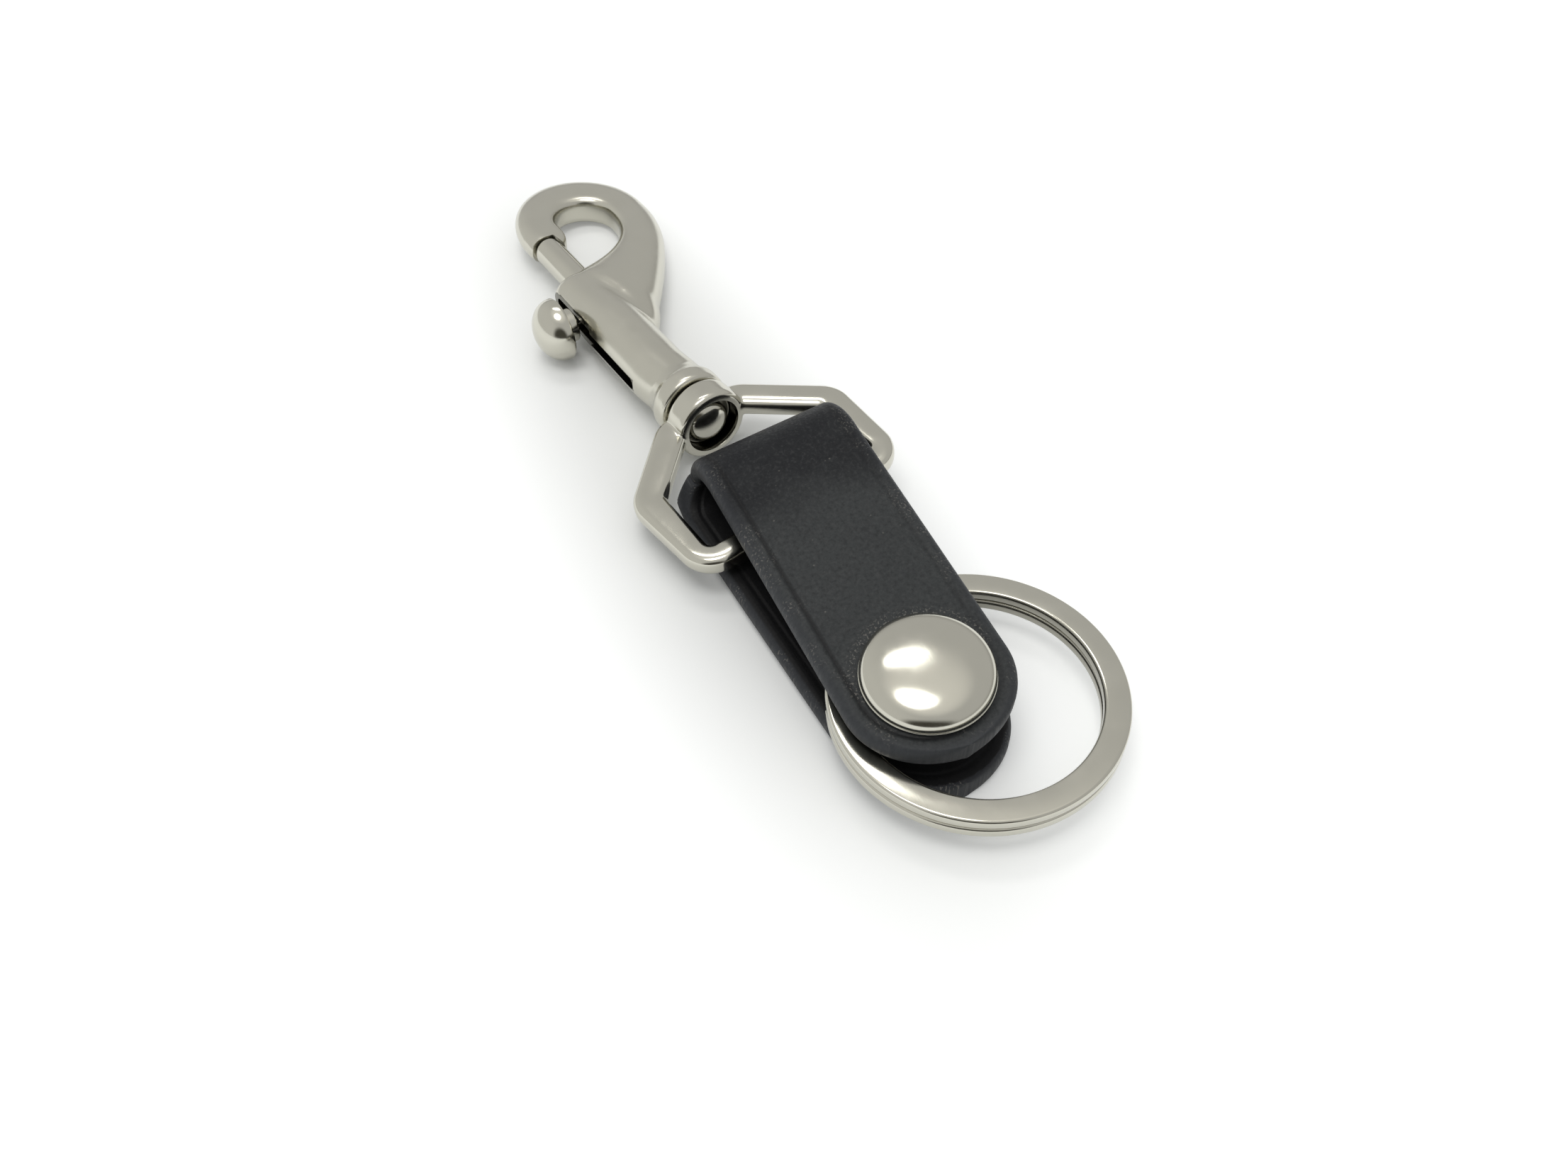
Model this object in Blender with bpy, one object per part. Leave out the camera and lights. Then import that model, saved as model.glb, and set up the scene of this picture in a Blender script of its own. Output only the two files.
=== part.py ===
"""Leather valet keychain: a folded strap with a snap, a split ring and a swivel bolt hook.

The strap's lower leg lies on the ground (z = 0) with its length along X: the fold is at -X and
the round tips are at +X. The origin is under the middle of that leg. Sizes are in millimetres.
"""
import math

import bmesh
import bpy
from mathutils import Euler, Matrix, Vector

MM = 0.001
GAP = 0.3                       # between pieces that touch
RUN = 0.5                       # running gap at the swivel's faces

# Leather strap
SNAP_AT = 20.0                  # the snap, from the origin
LEATHER = 2.8
STRAP_WIDTH = 20.0
EDGE_ROUND = 0.9
FLAP_TIP = 9.2                  # from the snap to the flap's end
FOLD_BACK = 44.4                # from the snap to the back of the fold
FOLD_HEIGHT = 12.2
FLAP_SLOPE = math.radians(3.5)  # the flap falls towards the snap
FLAP_ROLL = math.radians(3.0)   # the flap leans over the ring
FOLD_ROLL = math.radians(6.0)   # the fold follows the tilted bar
FOLD_SKEW = math.radians(4.0)   # the fold runs askew, so the lower leg shows beside the flap
LOWER_YAW = math.radians(3.3)

# Snap fastener
CAP_RADIUS = 7.55
CAP_RIM = 1.0
CAP_DOME = 2.1
SHANK_RADIUS = 1.7
SOCKET_RADIUS = 6.1
SOCKET_PLATE = 0.6
STUD_RADIUS = 5.6
STUD_FLANGE = 0.6
NUB_WALL = 0.6
NUB_HEIGHT = 2.0
POST_FLANGE_RADIUS = 4.6
POST_FLANGE = 0.6

# Split ring
RING_RADIUS = 16.9
RING_BAND = 3.05
RING_WIRE = 1.4                 # height of one of the two turns
RING_SPLIT = 0.2                # air between the turns
RING_OFF = (1.6, 5.8)           # centre, from the snap
RING_END = math.radians(250.0)  # where the wire's ends are
RING_STEP = math.radians(22.0)  # the wire climbs a turn in this angle

# Swivel loop: its own axes have X along the barrel, Y across, and start at the bar's centre
LOOP_WIDTH = 32.3               # over its flanks
LOOP_BAR = 3.3
LOOP_INNER = 1.8                # from a flank's middle line to the window
LOOP_OUTER = 2.0
LOOP_THICK = 2.8
LOOP_SIDE = 13.0                # from the bar to the shoulder
LOOP_CORNER = 2.6
COLLAR_REACH = 23.4             # from the bar to the collar's outer face
COLLAR_RADIUS = 5.1
COLLAR_LENGTH = 4.0
COLLAR_WALL = 1.9
COLLAR_RIM = 1.3
BAR_AT = (-31.5, 0.15)          # the bar's centre, from the snap
LOOP_YAW = math.radians(10.6)
HOOK_YAW = math.radians(8.3)    # the hook hangs slightly askew on its rivet
HOOK_PITCH = math.radians(1.7)
HOOK_ROLL = math.radians(5.0)   # the knob's side is up, the cheek rests on the ground
LOOP_ROLL = math.radians(5.0)

# Bolt hook: its own axes have X along the barrel towards the hook, and start at the flange
FLANGE_RADIUS = 5.1
FLANGE_LENGTH = 3.0
BARREL_RADIUS = 4.35
BARREL_LENGTH = 34.2
BARREL_WALL = 4.0               # behind the bore
BOLT_RADIUS = 2.2
BOLT_OFF = -0.5                 # the bolt's axis lies off the barrel's, towards the eye
BOLT_SHUT = 44.6                # where the bolt's nose is when it is shut
BOLT_LENGTH = 24.6
BOLT_TRAVEL = 10.0
EYE_AT = (47.8, -8.5)
EYE_RADIUS = 4.55
HOOK_CROWN = 7.7
HOOK_TIP = 6.1
HOOK_LEAN = math.radians(12.0)  # the crown's widest place, towards the cheek
HOOK_THICK = 4.6
HOOK_ROOT = 7.8                 # the flank's thickness where it leaves the barrel
TIP_REACH = 3.6                 # the tip runs back past the eye's centre
FLANK_ROOT = 18.0               # where the cheek leaves the barrel
SLOT_WIDTH = 1.9
SLOT_START = 8.7
SLOT_FLAT = 3.85                # height of the milled flat beside the slot
FLAT_START = 21.0
FLAT_END = 32.8
KNOB_AT = 25.8
KNOB_TURN = math.radians(4.0)   # the knob and its slot lean this far down
KNOB_RADIUS = 4.5
KNOB_RIM = 0.6
KNOB_DOME = 3.6
BOSS_RADIUS = 2.4
BOSS_LENGTH = 2.0
NECK_RADIUS = 0.65
NECK_DEPTH = 1.5
RIVET_RADIUS = 1.2
RIVET_HEAD = 3.0
RIVET_DOME = 1.5
RIVET_INNER = 1.0
SPRING_WIRE = 0.5
SPRING_CURLS = 8
SPRING_POINTS = 9               # to a curl

ROUND = 40                      # sides of a turned piece

# Heights that follow from the sizes above
FLAP_UNDER = FOLD_HEIGHT - LEATHER - (FOLD_BACK - FOLD_HEIGHT / 2) * math.tan(FLAP_SLOPE)
FLAP_TOP = FLAP_UNDER + LEATHER
FOLD_MIDDLE = FOLD_HEIGHT / 2
RING_BOTTOM = LEATHER + GAP
STUD_MIDDLE = LEATHER + GAP + STUD_FLANGE + NUB_HEIGHT / 2
STUD_AT = ((STUD_MIDDLE - FLAP_TOP) * math.tan(FLAP_SLOPE),
           (FLAP_TOP - STUD_MIDDLE) * math.tan(FLAP_ROLL), 0.0)
BORE_RADIUS = BOLT_RADIUS + GAP
SHANK_HOLE = SHANK_RADIUS + GAP
NUB_RADIUS = SHANK_HOLE + NUB_WALL
COLLAR_FACE = -COLLAR_REACH
FLANGE_FACE = COLLAR_FACE - RUN
FLANGE_HEIGHT = FLANGE_RADIUS + 0.15
BAR_HEIGHT = FLANGE_HEIGHT - FLANGE_FACE * math.sin(HOOK_PITCH)


def clear_scene():
    """Take every object out of the file."""
    for item in list(bpy.data.objects):
        bpy.data.objects.remove(item, do_unlink=True)


def finish(name, colour, metallic, roughness):
    """Make one plain material."""
    material = bpy.data.materials.new(name)
    material.use_nodes = True
    shader = material.node_tree.nodes["Principled BSDF"]
    shader.inputs["Base Color"].default_value = (*colour, 1.0)
    shader.inputs["Metallic"].default_value = metallic
    shader.inputs["Roughness"].default_value = roughness
    return material


def empty(name, place, turn=(0.0, 0.0, 0.0), parent=None):
    """Make an axis empty at a place in millimetres."""
    axis = bpy.data.objects.new(name, None)
    axis.location = Vector(place) * MM
    axis.rotation_euler = Euler(turn)
    axis.parent = parent
    axis.empty_display_size = 5 * MM
    bpy.context.scene.collection.objects.link(axis)
    return axis


def add_mesh(name, points, faces, parent=None, material=None, smooth=40.0):
    """Make an object from points in millimetres and faces, with its faces turned outwards."""
    mesh = bpy.data.meshes.new(name)
    mesh.from_pydata([Vector(point) * MM for point in points], [], faces)
    work = bmesh.new()
    work.from_mesh(mesh)
    bmesh.ops.recalc_face_normals(work, faces=work.faces)
    work.to_mesh(mesh)
    work.free()
    mesh.shade_smooth()
    mesh.set_sharp_from_angle(angle=math.radians(smooth))
    piece = bpy.data.objects.new(name, mesh)
    piece.parent = parent
    if material:
        mesh.materials.append(material)
    bpy.context.scene.collection.objects.link(piece)
    return piece


def bridge(rings, closed_path):
    """Return the points and faces of a skin over rings that have equal counts."""
    count = len(rings[0])
    points = [point for ring in rings for point in ring]
    faces = []
    last = len(rings) if closed_path else len(rings) - 1
    for row in range(last):
        base = row * count
        over = (row + 1) % len(rings) * count
        for side in range(count):
            turn = (side + 1) % count
            faces.append((base + side, base + turn, over + turn, over + side))
    if not closed_path:
        faces.append(tuple(range(count)))
        faces.append(tuple(range((len(rings) - 1) * count, len(rings) * count)))
    return points, faces


def turned(name, profile, parent, material, axis="Z", sides=ROUND):
    """Turn a profile of (radius, height) points: it ends on the axis, or is a closed loop."""
    sides = round(sides)
    on_axis = profile[0][0] == 0.0 and profile[-1][0] == 0.0
    body = profile[1:-1] if on_axis else profile
    points = []
    faces = []
    for radius, height in body:
        for side in range(sides):
            angle = 2 * math.pi * side / sides
            points.append((radius * math.cos(angle), radius * math.sin(angle), height))
    rows = len(body) - 1 if on_axis else len(body)
    for row in range(rows):
        base = row * sides
        over = (row + 1) % len(body) * sides
        for side in range(sides):
            turn = (side + 1) % sides
            faces.append((base + side, base + turn, over + turn, over + side))
    if on_axis:
        for row, end in ((0, profile[0]), (len(body) - 1, profile[-1])):
            points.append((0.0, 0.0, end[1]))
            base = row * sides
            pole = len(points) - 1
            for side in range(sides):
                faces.append((base + side, base + (side + 1) % sides, pole))
    turn_to = {"Z": Matrix(), "X": Matrix.Rotation(math.pi / 2, 4, "Y"),
               "Y": Matrix.Rotation(-math.pi / 2, 4, "X")}[axis]
    points = [turn_to @ Vector(point) for point in points]
    return add_mesh(name, points, faces, parent, material)


def cutter(piece):
    """Mark an object as a cutter that is not part of the model."""
    piece.hide_render = True
    piece.display_type = "WIRE"
    return piece


def combine(piece, other, operation):
    """Add a Boolean of another object to a piece."""
    step = piece.modifiers.new(other.name, "BOOLEAN")
    step.operation = operation
    step.solver = "EXACT"
    step.object = cutter(other)


def drill(name, radius, low, high, parent, axis="Z"):
    """Make a round cutter between two heights on its parent's axis."""
    profile = [(0.0, low), (radius, low), (radius, high), (0.0, high)]
    return cutter(turned(name, profile, parent, None, axis, 32))


def flat_oval(inner, outer, half, power=2.6, count=16):
    """Return a ring of points between two edge points in the XY plane, rounded in height."""
    ring = []
    for step in range(count):
        angle = 2 * math.pi * step / count
        across = math.copysign(abs(math.cos(angle)) ** (2 / power), math.cos(angle))
        height = math.copysign(abs(math.sin(angle)) ** (2 / power), math.sin(angle))
        ring.append((inner[0] + (outer[0] - inner[0]) * (1 + across) / 2,
                     inner[1] + (outer[1] - inner[1]) * (1 + across) / 2,
                     half * height))
    return ring


def bezier(points, share):
    """Return the place on a cubic curve through four control points."""
    rest = 1 - share
    weight = (rest ** 3, 3 * rest * rest * share, 3 * rest * share * share, share ** 3)
    return tuple(sum(w * point[k] for w, point in zip(weight, points)) for k in range(2))


def dome(radius, low, rise, steps=6):
    """Return the profile of a dome from its rim up to the axis."""
    angles = [math.pi / 2 * step / steps for step in range(steps + 1)]
    return [(radius * math.cos(a) if a < math.pi / 2 else 0.0, low + rise * math.sin(a))
            for a in angles]


def strap_section(centre, along, half_width, roll):
    """Return a rounded cross-section of the strap, square to its path in the XZ plane."""
    up = Vector((-along[1], 0.0, along[0]))
    across = Vector((0.0, 1.0, 0.0))
    half = LEATHER / 2
    edge = min(EDGE_ROUND, half * 0.9, half_width * 0.8)
    ring = []
    for side, level, first in ((1, 1, 0.0), (-1, 1, 90.0), (-1, -1, 180.0), (1, -1, 270.0)):
        for bend in (0.0, 45.0, 90.0):
            angle = math.radians(first + bend)
            y = side * (half_width - edge) + edge * math.cos(angle)
            z = level * (half - edge) + edge * math.sin(angle)
            point = Vector(centre) + across * y + up * z
            point.z += y * math.tan(roll)
            point.x -= y * math.tan(FOLD_SKEW) * fold_share(centre[0])
            ring.append(point)
    return ring


def fold_share(x):
    """Return how far a distance from the snap is on the way to the fold, from 0 to 1."""
    return min(1.0, max(0.0, -x / (FOLD_BACK - FOLD_MIDDLE)))


def tip_steps(reach):
    """Return the distances from the snap and the half widths of a round tip, from its end."""
    half = STRAP_WIDTH / 2
    angles = [math.radians(86.0 - 86.0 * step / 7) for step in range(8)]
    return [(reach * math.sin(angle), half * math.cos(angle)) for angle in angles]


def strap_lower(parent, material, base):
    """The strap's lower leg and the lower half of its fold."""
    mid = LEATHER / 2
    fold_x = FOLD_MIDDLE - FOLD_BACK
    sections = []
    for reach, half_width in tip_steps(STRAP_WIDTH / 2):
        sections.append(strap_section((reach, 0.0, mid), (-1.0, 0.0), half_width, 0.0))
    for share in (0.25, 0.5, 0.75):
        sections.append(strap_section((fold_x * share, 0.0, mid), (-1.0, 0.0),
                                      STRAP_WIDTH / 2, 0.0))
    radius = FOLD_MIDDLE - mid
    last = math.pi / 2 - GAP / 2 / radius
    for step in range(7):
        bend = last * step / 6
        place = (fold_x - radius * math.sin(bend), 0.0, FOLD_MIDDLE - radius * math.cos(bend))
        roll = FOLD_ROLL * bend / math.pi
        sections.append(strap_section(place, (-math.cos(bend), math.sin(bend)),
                                      STRAP_WIDTH / 2, roll))
    for ring in sections:
        for point in ring:
            point.y += skew(point)
    strap = add_mesh("strap_lower", *bridge(sections, False), parent, material, 50.0)
    combine(strap, drill("lower_hole_cutter", SHANK_HOLE, -1.0, LEATHER + 1.0, base), "DIFFERENCE")
    pocket = drill("post_pocket_cutter", POST_FLANGE_RADIUS + GAP, -1.0, POST_FLANGE + GAP, base)
    combine(strap, pocket, "DIFFERENCE")
    return strap


def skew(point):
    """Return how far a point of the lower leg lies to the side: it fades out in the fold."""
    lift = max(0.0, point.z - LEATHER) / (FOLD_MIDDLE - LEATHER)
    return math.tan(LOWER_YAW) * min(0.0, point.x) * max(0.0, 1.0 - lift)


def flap_roll(x):
    """Return the flap's roll at a distance from the snap."""
    return FLAP_ROLL + (FOLD_ROLL - FLAP_ROLL) * fold_share(x)


def strap_flap(parent, material):
    """The upper half of the fold and the strap's upper leg, down to its round tip."""
    mid = LEATHER / 2
    fold_x = FOLD_MIDDLE - FOLD_BACK
    radius = FOLD_MIDDLE - mid
    start = GAP / 2 / radius
    end = math.pi / 2 - FLAP_SLOPE
    sections = []
    for step in range(8):
        bend = start + (end - start) * step / 7
        place = (fold_x - radius * math.cos(bend), 0.0, FOLD_MIDDLE + radius * math.sin(bend))
        roll = FOLD_ROLL * (0.5 + bend / math.pi)
        sections.append(strap_section(place, (math.sin(bend), math.cos(bend)),
                                      STRAP_WIDTH / 2, roll))
    along = (math.cos(FLAP_SLOPE), -math.sin(FLAP_SLOPE))
    first = (sections[-1][0] + sections[-1][6]) / 2
    rest = [(fold_x * share, STRAP_WIDTH / 2) for share in (0.75, 0.5, 0.25)]
    rest += list(reversed(tip_steps(FLAP_TIP)))
    for x, half_width in rest:
        place = (x, 0.0, first.z - (x - first.x) * math.tan(FLAP_SLOPE))
        sections.append(strap_section(place, along, half_width, flap_roll(x)))
    flap = add_mesh("strap_flap", *bridge(sections, False), parent, material, 50.0)
    return flap


def build_strap(leather, model, snap_top):
    """Build the two halves of the strap around the flap's axis and drill the flap."""
    base = empty("snap_base_axis", STUD_AT, parent=model)
    strap_lower(model, leather, base)
    flap = strap_flap(model, leather)
    combine(flap, drill("flap_hole_cutter", SHANK_HOLE, -LEATHER * 2, LEATHER, snap_top),
            "DIFFERENCE")
    flap_axis = empty("flap_axis", (-FOLD_BACK, 0.0, FOLD_MIDDLE), parent=model)
    flap.parent = flap_axis
    flap.location = -flap_axis.location
    return base


def build_snap(nickel, brass, base, top):
    """Build the cap and socket on the flap, and the stud and post on the lower leg."""
    low = GAP
    rim_low = [(SHANK_RADIUS, low), (CAP_RADIUS - 0.45, low), (CAP_RADIUS, low + 0.45)]
    crown = dome(CAP_RADIUS, low + CAP_RIM, CAP_DOME, 8)
    shank_end = -LEATHER - GAP - SOCKET_PLATE
    profile = [(0.0, shank_end), (SHANK_RADIUS - 0.3, shank_end), (SHANK_RADIUS, shank_end + 0.3)]
    turned("snap_cap", profile + rim_low + crown, top, nickel, sides=64)
    tilt = math.sin(math.hypot(FLAP_SLOPE, FLAP_ROLL))
    deep = FLAP_UNDER - LEATHER - STUD_FLANGE - 2 * GAP - SOCKET_RADIUS * tilt
    plate = -LEATHER - GAP
    under = plate - deep + GAP
    bore = NUB_RADIUS + GAP
    socket = [(SHANK_HOLE, plate), (SOCKET_RADIUS - 0.5, plate), (SOCKET_RADIUS, plate - 0.5),
              (SOCKET_RADIUS, under + 0.4), (SOCKET_RADIUS - 0.5, under), (bore + 0.4, under),
              (bore, under + 0.3), (bore, plate - SOCKET_PLATE), (SHANK_HOLE, plate - SOCKET_PLATE)]
    turned("snap_socket", socket, top, brass, sides=48)
    foot = LEATHER + GAP
    nub_top = foot + STUD_FLANGE + NUB_HEIGHT
    stud = [(SHANK_HOLE, foot), (STUD_RADIUS, foot), (STUD_RADIUS, foot + STUD_FLANGE),
            (NUB_RADIUS, foot + STUD_FLANGE), (NUB_RADIUS, nub_top - 0.6),
            (NUB_RADIUS - 0.5, nub_top), (SHANK_HOLE - 0.6, nub_top),
            (SHANK_HOLE - 0.6, nub_top - NUB_WALL), (SHANK_HOLE, nub_top - NUB_WALL)]
    turned("snap_stud", stud, base, brass, sides=48)
    post_top = nub_top - NUB_WALL - GAP
    hollow = SHANK_RADIUS - 0.5
    post = [(hollow, 0.0), (POST_FLANGE_RADIUS - 0.2, 0.0), (POST_FLANGE_RADIUS, 0.2),
            (POST_FLANGE_RADIUS, POST_FLANGE), (SHANK_RADIUS, POST_FLANGE),
            (SHANK_RADIUS, post_top), (hollow, post_top)]
    turned("snap_post", post, base, nickel, sides=48)


def ring_height(angle):
    """Return the middle height of the ring's wire along its two turns."""
    climb = RING_WIRE + RING_SPLIT
    share = (angle - (2 * math.pi - RING_STEP)) / RING_STEP
    share = min(1.0, max(0.0, share))
    return RING_BOTTOM + RING_WIRE / 2 + climb * (3 * share ** 2 - 2 * share ** 3)


def build_ring(nickel, model):
    """Build the split ring as one flat wire in two turns."""
    axis = empty("ring_axis", (0.0, 0.0, RING_BOTTOM), parent=model)
    middle = RING_RADIUS - RING_BAND / 2
    total = 4 * math.pi - RING_STEP - 0.03
    steps = 116
    rings = []
    for step in range(steps + 1):
        angle = total * step / steps
        height = ring_height(angle)
        turn = angle + RING_END
        direction = Vector((math.cos(turn), math.sin(turn), 0.0))
        centre = Vector((RING_OFF[0], RING_OFF[1], height)) + direction * middle
        half, tall, edge = RING_BAND / 2, RING_WIRE / 2, 0.3
        outline = ((half, tall - edge), (half - edge, tall), (edge - half, tall),
                   (-half, tall - edge), (-half, edge - tall), (edge - half, -tall),
                   (half - edge, -tall), (half, edge - tall))
        rings.append([centre + direction * out + Vector((0.0, 0.0, up)) for out, up in outline])
    ring = add_mesh("split_ring", *bridge(rings, False), axis, nickel, 35.0)
    ring.location = -axis.location


def rounded_path(corners, steps=5):
    """Return a closed path through (x, y, radius) corners, with arcs in the corners."""
    path = []
    count = len(corners)
    for index, (x, y, radius) in enumerate(corners):
        here = Vector((x, y))
        back = (Vector(corners[index - 1][:2]) - here).normalized()
        ahead = (Vector(corners[(index + 1) % count][:2]) - here).normalized()
        half_angle = back.angle(ahead) / 2
        reach = radius / math.tan(half_angle)
        centre = here + (back + ahead).normalized() * (radius / math.sin(half_angle))
        start = here + back * reach - centre
        sweep = start.angle_signed(here + ahead * reach - centre)
        for step in range(steps + 1):
            path.append(centre + Matrix.Rotation(-sweep * step / steps, 2) @ start)
    return path


def loop_frame(axis, nickel):
    """The five-sided frame of the swivel loop, swept along its middle line."""
    side = LOOP_WIDTH / 2 - LOOP_OUTER
    neck = COLLAR_FACE + LOOP_INNER
    shoulder = -LOOP_SIDE
    corners = [(0.0, side, LOOP_CORNER), (0.0, -side, LOOP_CORNER),
               (shoulder, -side, LOOP_CORNER), (neck, -COLLAR_RADIUS, LOOP_CORNER),
               (neck, COLLAR_RADIUS, LOOP_CORNER), (shoulder, side, LOOP_CORNER)]
    path = rounded_path(corners)
    rings = []
    count = len(path)
    for index, place in enumerate(path):
        ahead = (path[(index + 1) % count] - path[index - 1]).normalized()
        across = Vector((ahead.y, -ahead.x))
        flank = min(1.0, max(0.0, -place.x / LOOP_CORNER))
        inner = LOOP_BAR / 2 + (LOOP_INNER - LOOP_BAR / 2) * flank
        outer = LOOP_BAR / 2 + (LOOP_OUTER - LOOP_BAR / 2) * flank
        near, far = place - across * inner, place + across * outer
        rings.append(flat_oval(near, far, LOOP_THICK / 2, 2.6, 16))
    return add_mesh("swivel_loop", *bridge(rings, True), axis, nickel)


def build_loop(axis, nickel):
    """Build the swivel loop: a collar with a cup for the rivet's head, and the frame."""
    loop = loop_frame(axis, nickel)
    low, high = COLLAR_FACE, COLLAR_FACE + COLLAR_LENGTH
    collar = [(0.0, low), (COLLAR_RADIUS - 0.9, low), (COLLAR_RADIUS - 0.25, low + 0.25),
              (COLLAR_RADIUS, low + 0.9), (COLLAR_RADIUS, high - 0.9),
              (COLLAR_RADIUS - 0.25, high - 0.25), (COLLAR_RADIUS - 0.9, high), (0.0, high)]
    combine(loop, turned("collar_shape", collar, axis, nickel, "X"), "UNION")
    cup = drill("cup_cutter", COLLAR_RADIUS - COLLAR_RIM, low + COLLAR_WALL, high + 1.0, axis, "X")
    combine(loop, cup, "DIFFERENCE")
    hole = drill("collar_hole_cutter", RIVET_RADIUS + RUN, low - 1.0, high, axis, "X")
    combine(loop, hole, "DIFFERENCE")


def hook_sections():
    """Return the cross-sections of the hook, from inside the barrel round to its tip."""
    ex, ey = EYE_AT
    cheek = HOOK_TIP + (HOOK_CROWN - HOOK_TIP) * math.sin(HOOK_LEAN) ** 2
    inner_low = (ex, ey - EYE_RADIUS)
    outer_low = (ex, ey - EYE_RADIUS - cheek)
    inner = (inner_low, (ex - 5.0, inner_low[1]), (BARREL_LENGTH + 2.0, ey - 1.4),
             (BARREL_LENGTH + 0.9, 0.0))
    outer = (outer_low, (ex - 8.0, outer_low[1]), (BARREL_LENGTH - 1.2, ey - 7.0),
             (FLANK_ROOT, 0.3 - BARREL_RADIUS))
    half = HOOK_THICK / 2
    rings = []
    for step in range(9, 0, -1):
        share = step / 9
        deep = half + (HOOK_ROOT / 2 - half) * share ** 2
        rings.append(flat_oval(bezier(inner, share), bezier(outer, share), deep))
    for step in range(15):
        angle = math.pi / 2 - math.pi * step / 14
        width = HOOK_TIP + (HOOK_CROWN - HOOK_TIP) * math.cos(angle - HOOK_LEAN) ** 2
        way = (math.cos(angle), -math.sin(angle))
        near = (ex + EYE_RADIUS * way[0], ey + EYE_RADIUS * way[1])
        far = (ex + (EYE_RADIUS + width) * way[0], ey + (EYE_RADIUS + width) * way[1])
        rings.append(flat_oval(near, far, half))
    tip_low = (ex, ey + EYE_RADIUS)
    tip_high = (ex, ey + EYE_RADIUS + cheek)
    for reach, inset in ((0.5, 0.0), (0.85, 0.0), (1.0, 0.45)):
        x = ex - TIP_REACH * reach
        rings.append(flat_oval((x, tip_low[1] + inset), (x, tip_high[1] - inset), half - inset))
    return rings


def build_hook_body(axis, side, nickel):
    """Build the cast body: barrel, flange and hook, bored and slotted for the bolt."""
    body = add_mesh("hook_body", *bridge(hook_sections(), False), axis, nickel)
    flare = FLANGE_LENGTH + 1.6
    barrel = [(0.0, 0.0), (FLANGE_RADIUS - 0.5, 0.0), (FLANGE_RADIUS, 0.5),
              (FLANGE_RADIUS, FLANGE_LENGTH - 0.8), (FLANGE_RADIUS - 0.35, FLANGE_LENGTH),
              (BARREL_RADIUS, flare), (BARREL_RADIUS, BARREL_LENGTH - 0.8),
              (BARREL_RADIUS - 0.3, BARREL_LENGTH - 0.2), (BARREL_RADIUS - 0.8, BARREL_LENGTH),
              (0.0, BARREL_LENGTH)]
    combine(body, turned("barrel_shape", barrel, axis, nickel, "X"), "UNION")
    nose = BOLT_SHUT + GAP
    bore = drill("bore_cutter", BORE_RADIUS, BARREL_WALL, nose, axis, "X")
    bore.location.y = BOLT_OFF * MM
    combine(body, bore, "DIFFERENCE")
    hole = drill("rivet_hole_cutter", RIVET_RADIUS + GAP, -1.0, BARREL_WALL + 1.0, axis, "X")
    combine(body, hole, "DIFFERENCE")
    combine(body, slot_cutter(side), "DIFFERENCE")
    combine(body, flat_cutter(side), "DIFFERENCE")


def box_cutter(name, low, high, axis):
    """Make a box cutter between two corners."""
    points = [(x, y, z) for z in (low[2], high[2]) for y in (low[1], high[1])
              for x in (low[0], high[0])]
    faces = [(0, 1, 3, 2), (4, 5, 7, 6), (0, 1, 5, 4), (2, 3, 7, 6), (0, 2, 6, 4), (1, 3, 7, 5)]
    return cutter(add_mesh(name, points, faces, axis))


def slot_cutter(axis):
    """The slot that the thumb knob's neck runs in."""
    half = SLOT_WIDTH / 2
    return box_cutter("slot_cutter", (SLOT_START, 0.0, -half),
                      (FLAT_END - 1.0, BARREL_RADIUS + 2.0, half), axis)


def flat_cutter(axis):
    """The milled flat under the thumb knob, with round ends."""
    half = math.sqrt(BARREL_RADIUS ** 2 - SLOT_FLAT ** 2) + 0.6
    rings = []
    steps = 16
    for height in (SLOT_FLAT, BARREL_RADIUS + 2.0):
        ring = []
        for step in range(steps):
            angle = 2 * math.pi * step / steps
            end = FLAT_END if math.cos(angle) > 0 else FLAT_START
            inset = -half if math.cos(angle) > 0 else half
            ring.append((end + inset + half * math.cos(angle), height, half * math.sin(angle)))
        rings.append(ring)
    return cutter(add_mesh("flat_cutter", *bridge(rings, False), axis))


def build_bolt(axis, side, nickel):
    """Build the sliding bolt, with a blind hole for the thumb knob's neck."""
    rear = BOLT_SHUT - BOLT_LENGTH
    profile = [(0.0, rear), (BOLT_RADIUS - 0.4, rear), (BOLT_RADIUS, rear + 0.4),
               (BOLT_RADIUS, BOLT_SHUT - 0.7), (BOLT_RADIUS - 0.25, BOLT_SHUT - 0.2),
               (BOLT_RADIUS - 0.7, BOLT_SHUT), (0.0, BOLT_SHUT)]
    bolt = turned("bolt", profile, axis, nickel, "X")
    bolt.location.y = BOLT_OFF * MM
    hole = drill("neck_hole_cutter", NECK_RADIUS + GAP, BOLT_RADIUS - NECK_DEPTH - GAP,
                 BOLT_RADIUS + 1.0, side, "Y")
    hole.location = (KNOB_AT * MM, BOLT_OFF * MM, 0.0)
    combine(bolt, hole, "DIFFERENCE")
    boss_low = BARREL_RADIUS + GAP
    boss_high = boss_low + BOSS_LENGTH
    neck_low = BOLT_OFF + BOLT_RADIUS - NECK_DEPTH
    knob = [(0.0, neck_low), (NECK_RADIUS, neck_low), (NECK_RADIUS, boss_low),
            (BOSS_RADIUS, boss_low), (BOSS_RADIUS, boss_high), (KNOB_RADIUS - 0.4, boss_high),
            (KNOB_RADIUS, boss_high + 0.4)]
    knob += dome(KNOB_RADIUS, boss_high + KNOB_RIM, KNOB_DOME)
    piece = turned("thumb_knob", knob, side, nickel, "Y")
    piece.location.x = KNOB_AT * MM


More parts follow.
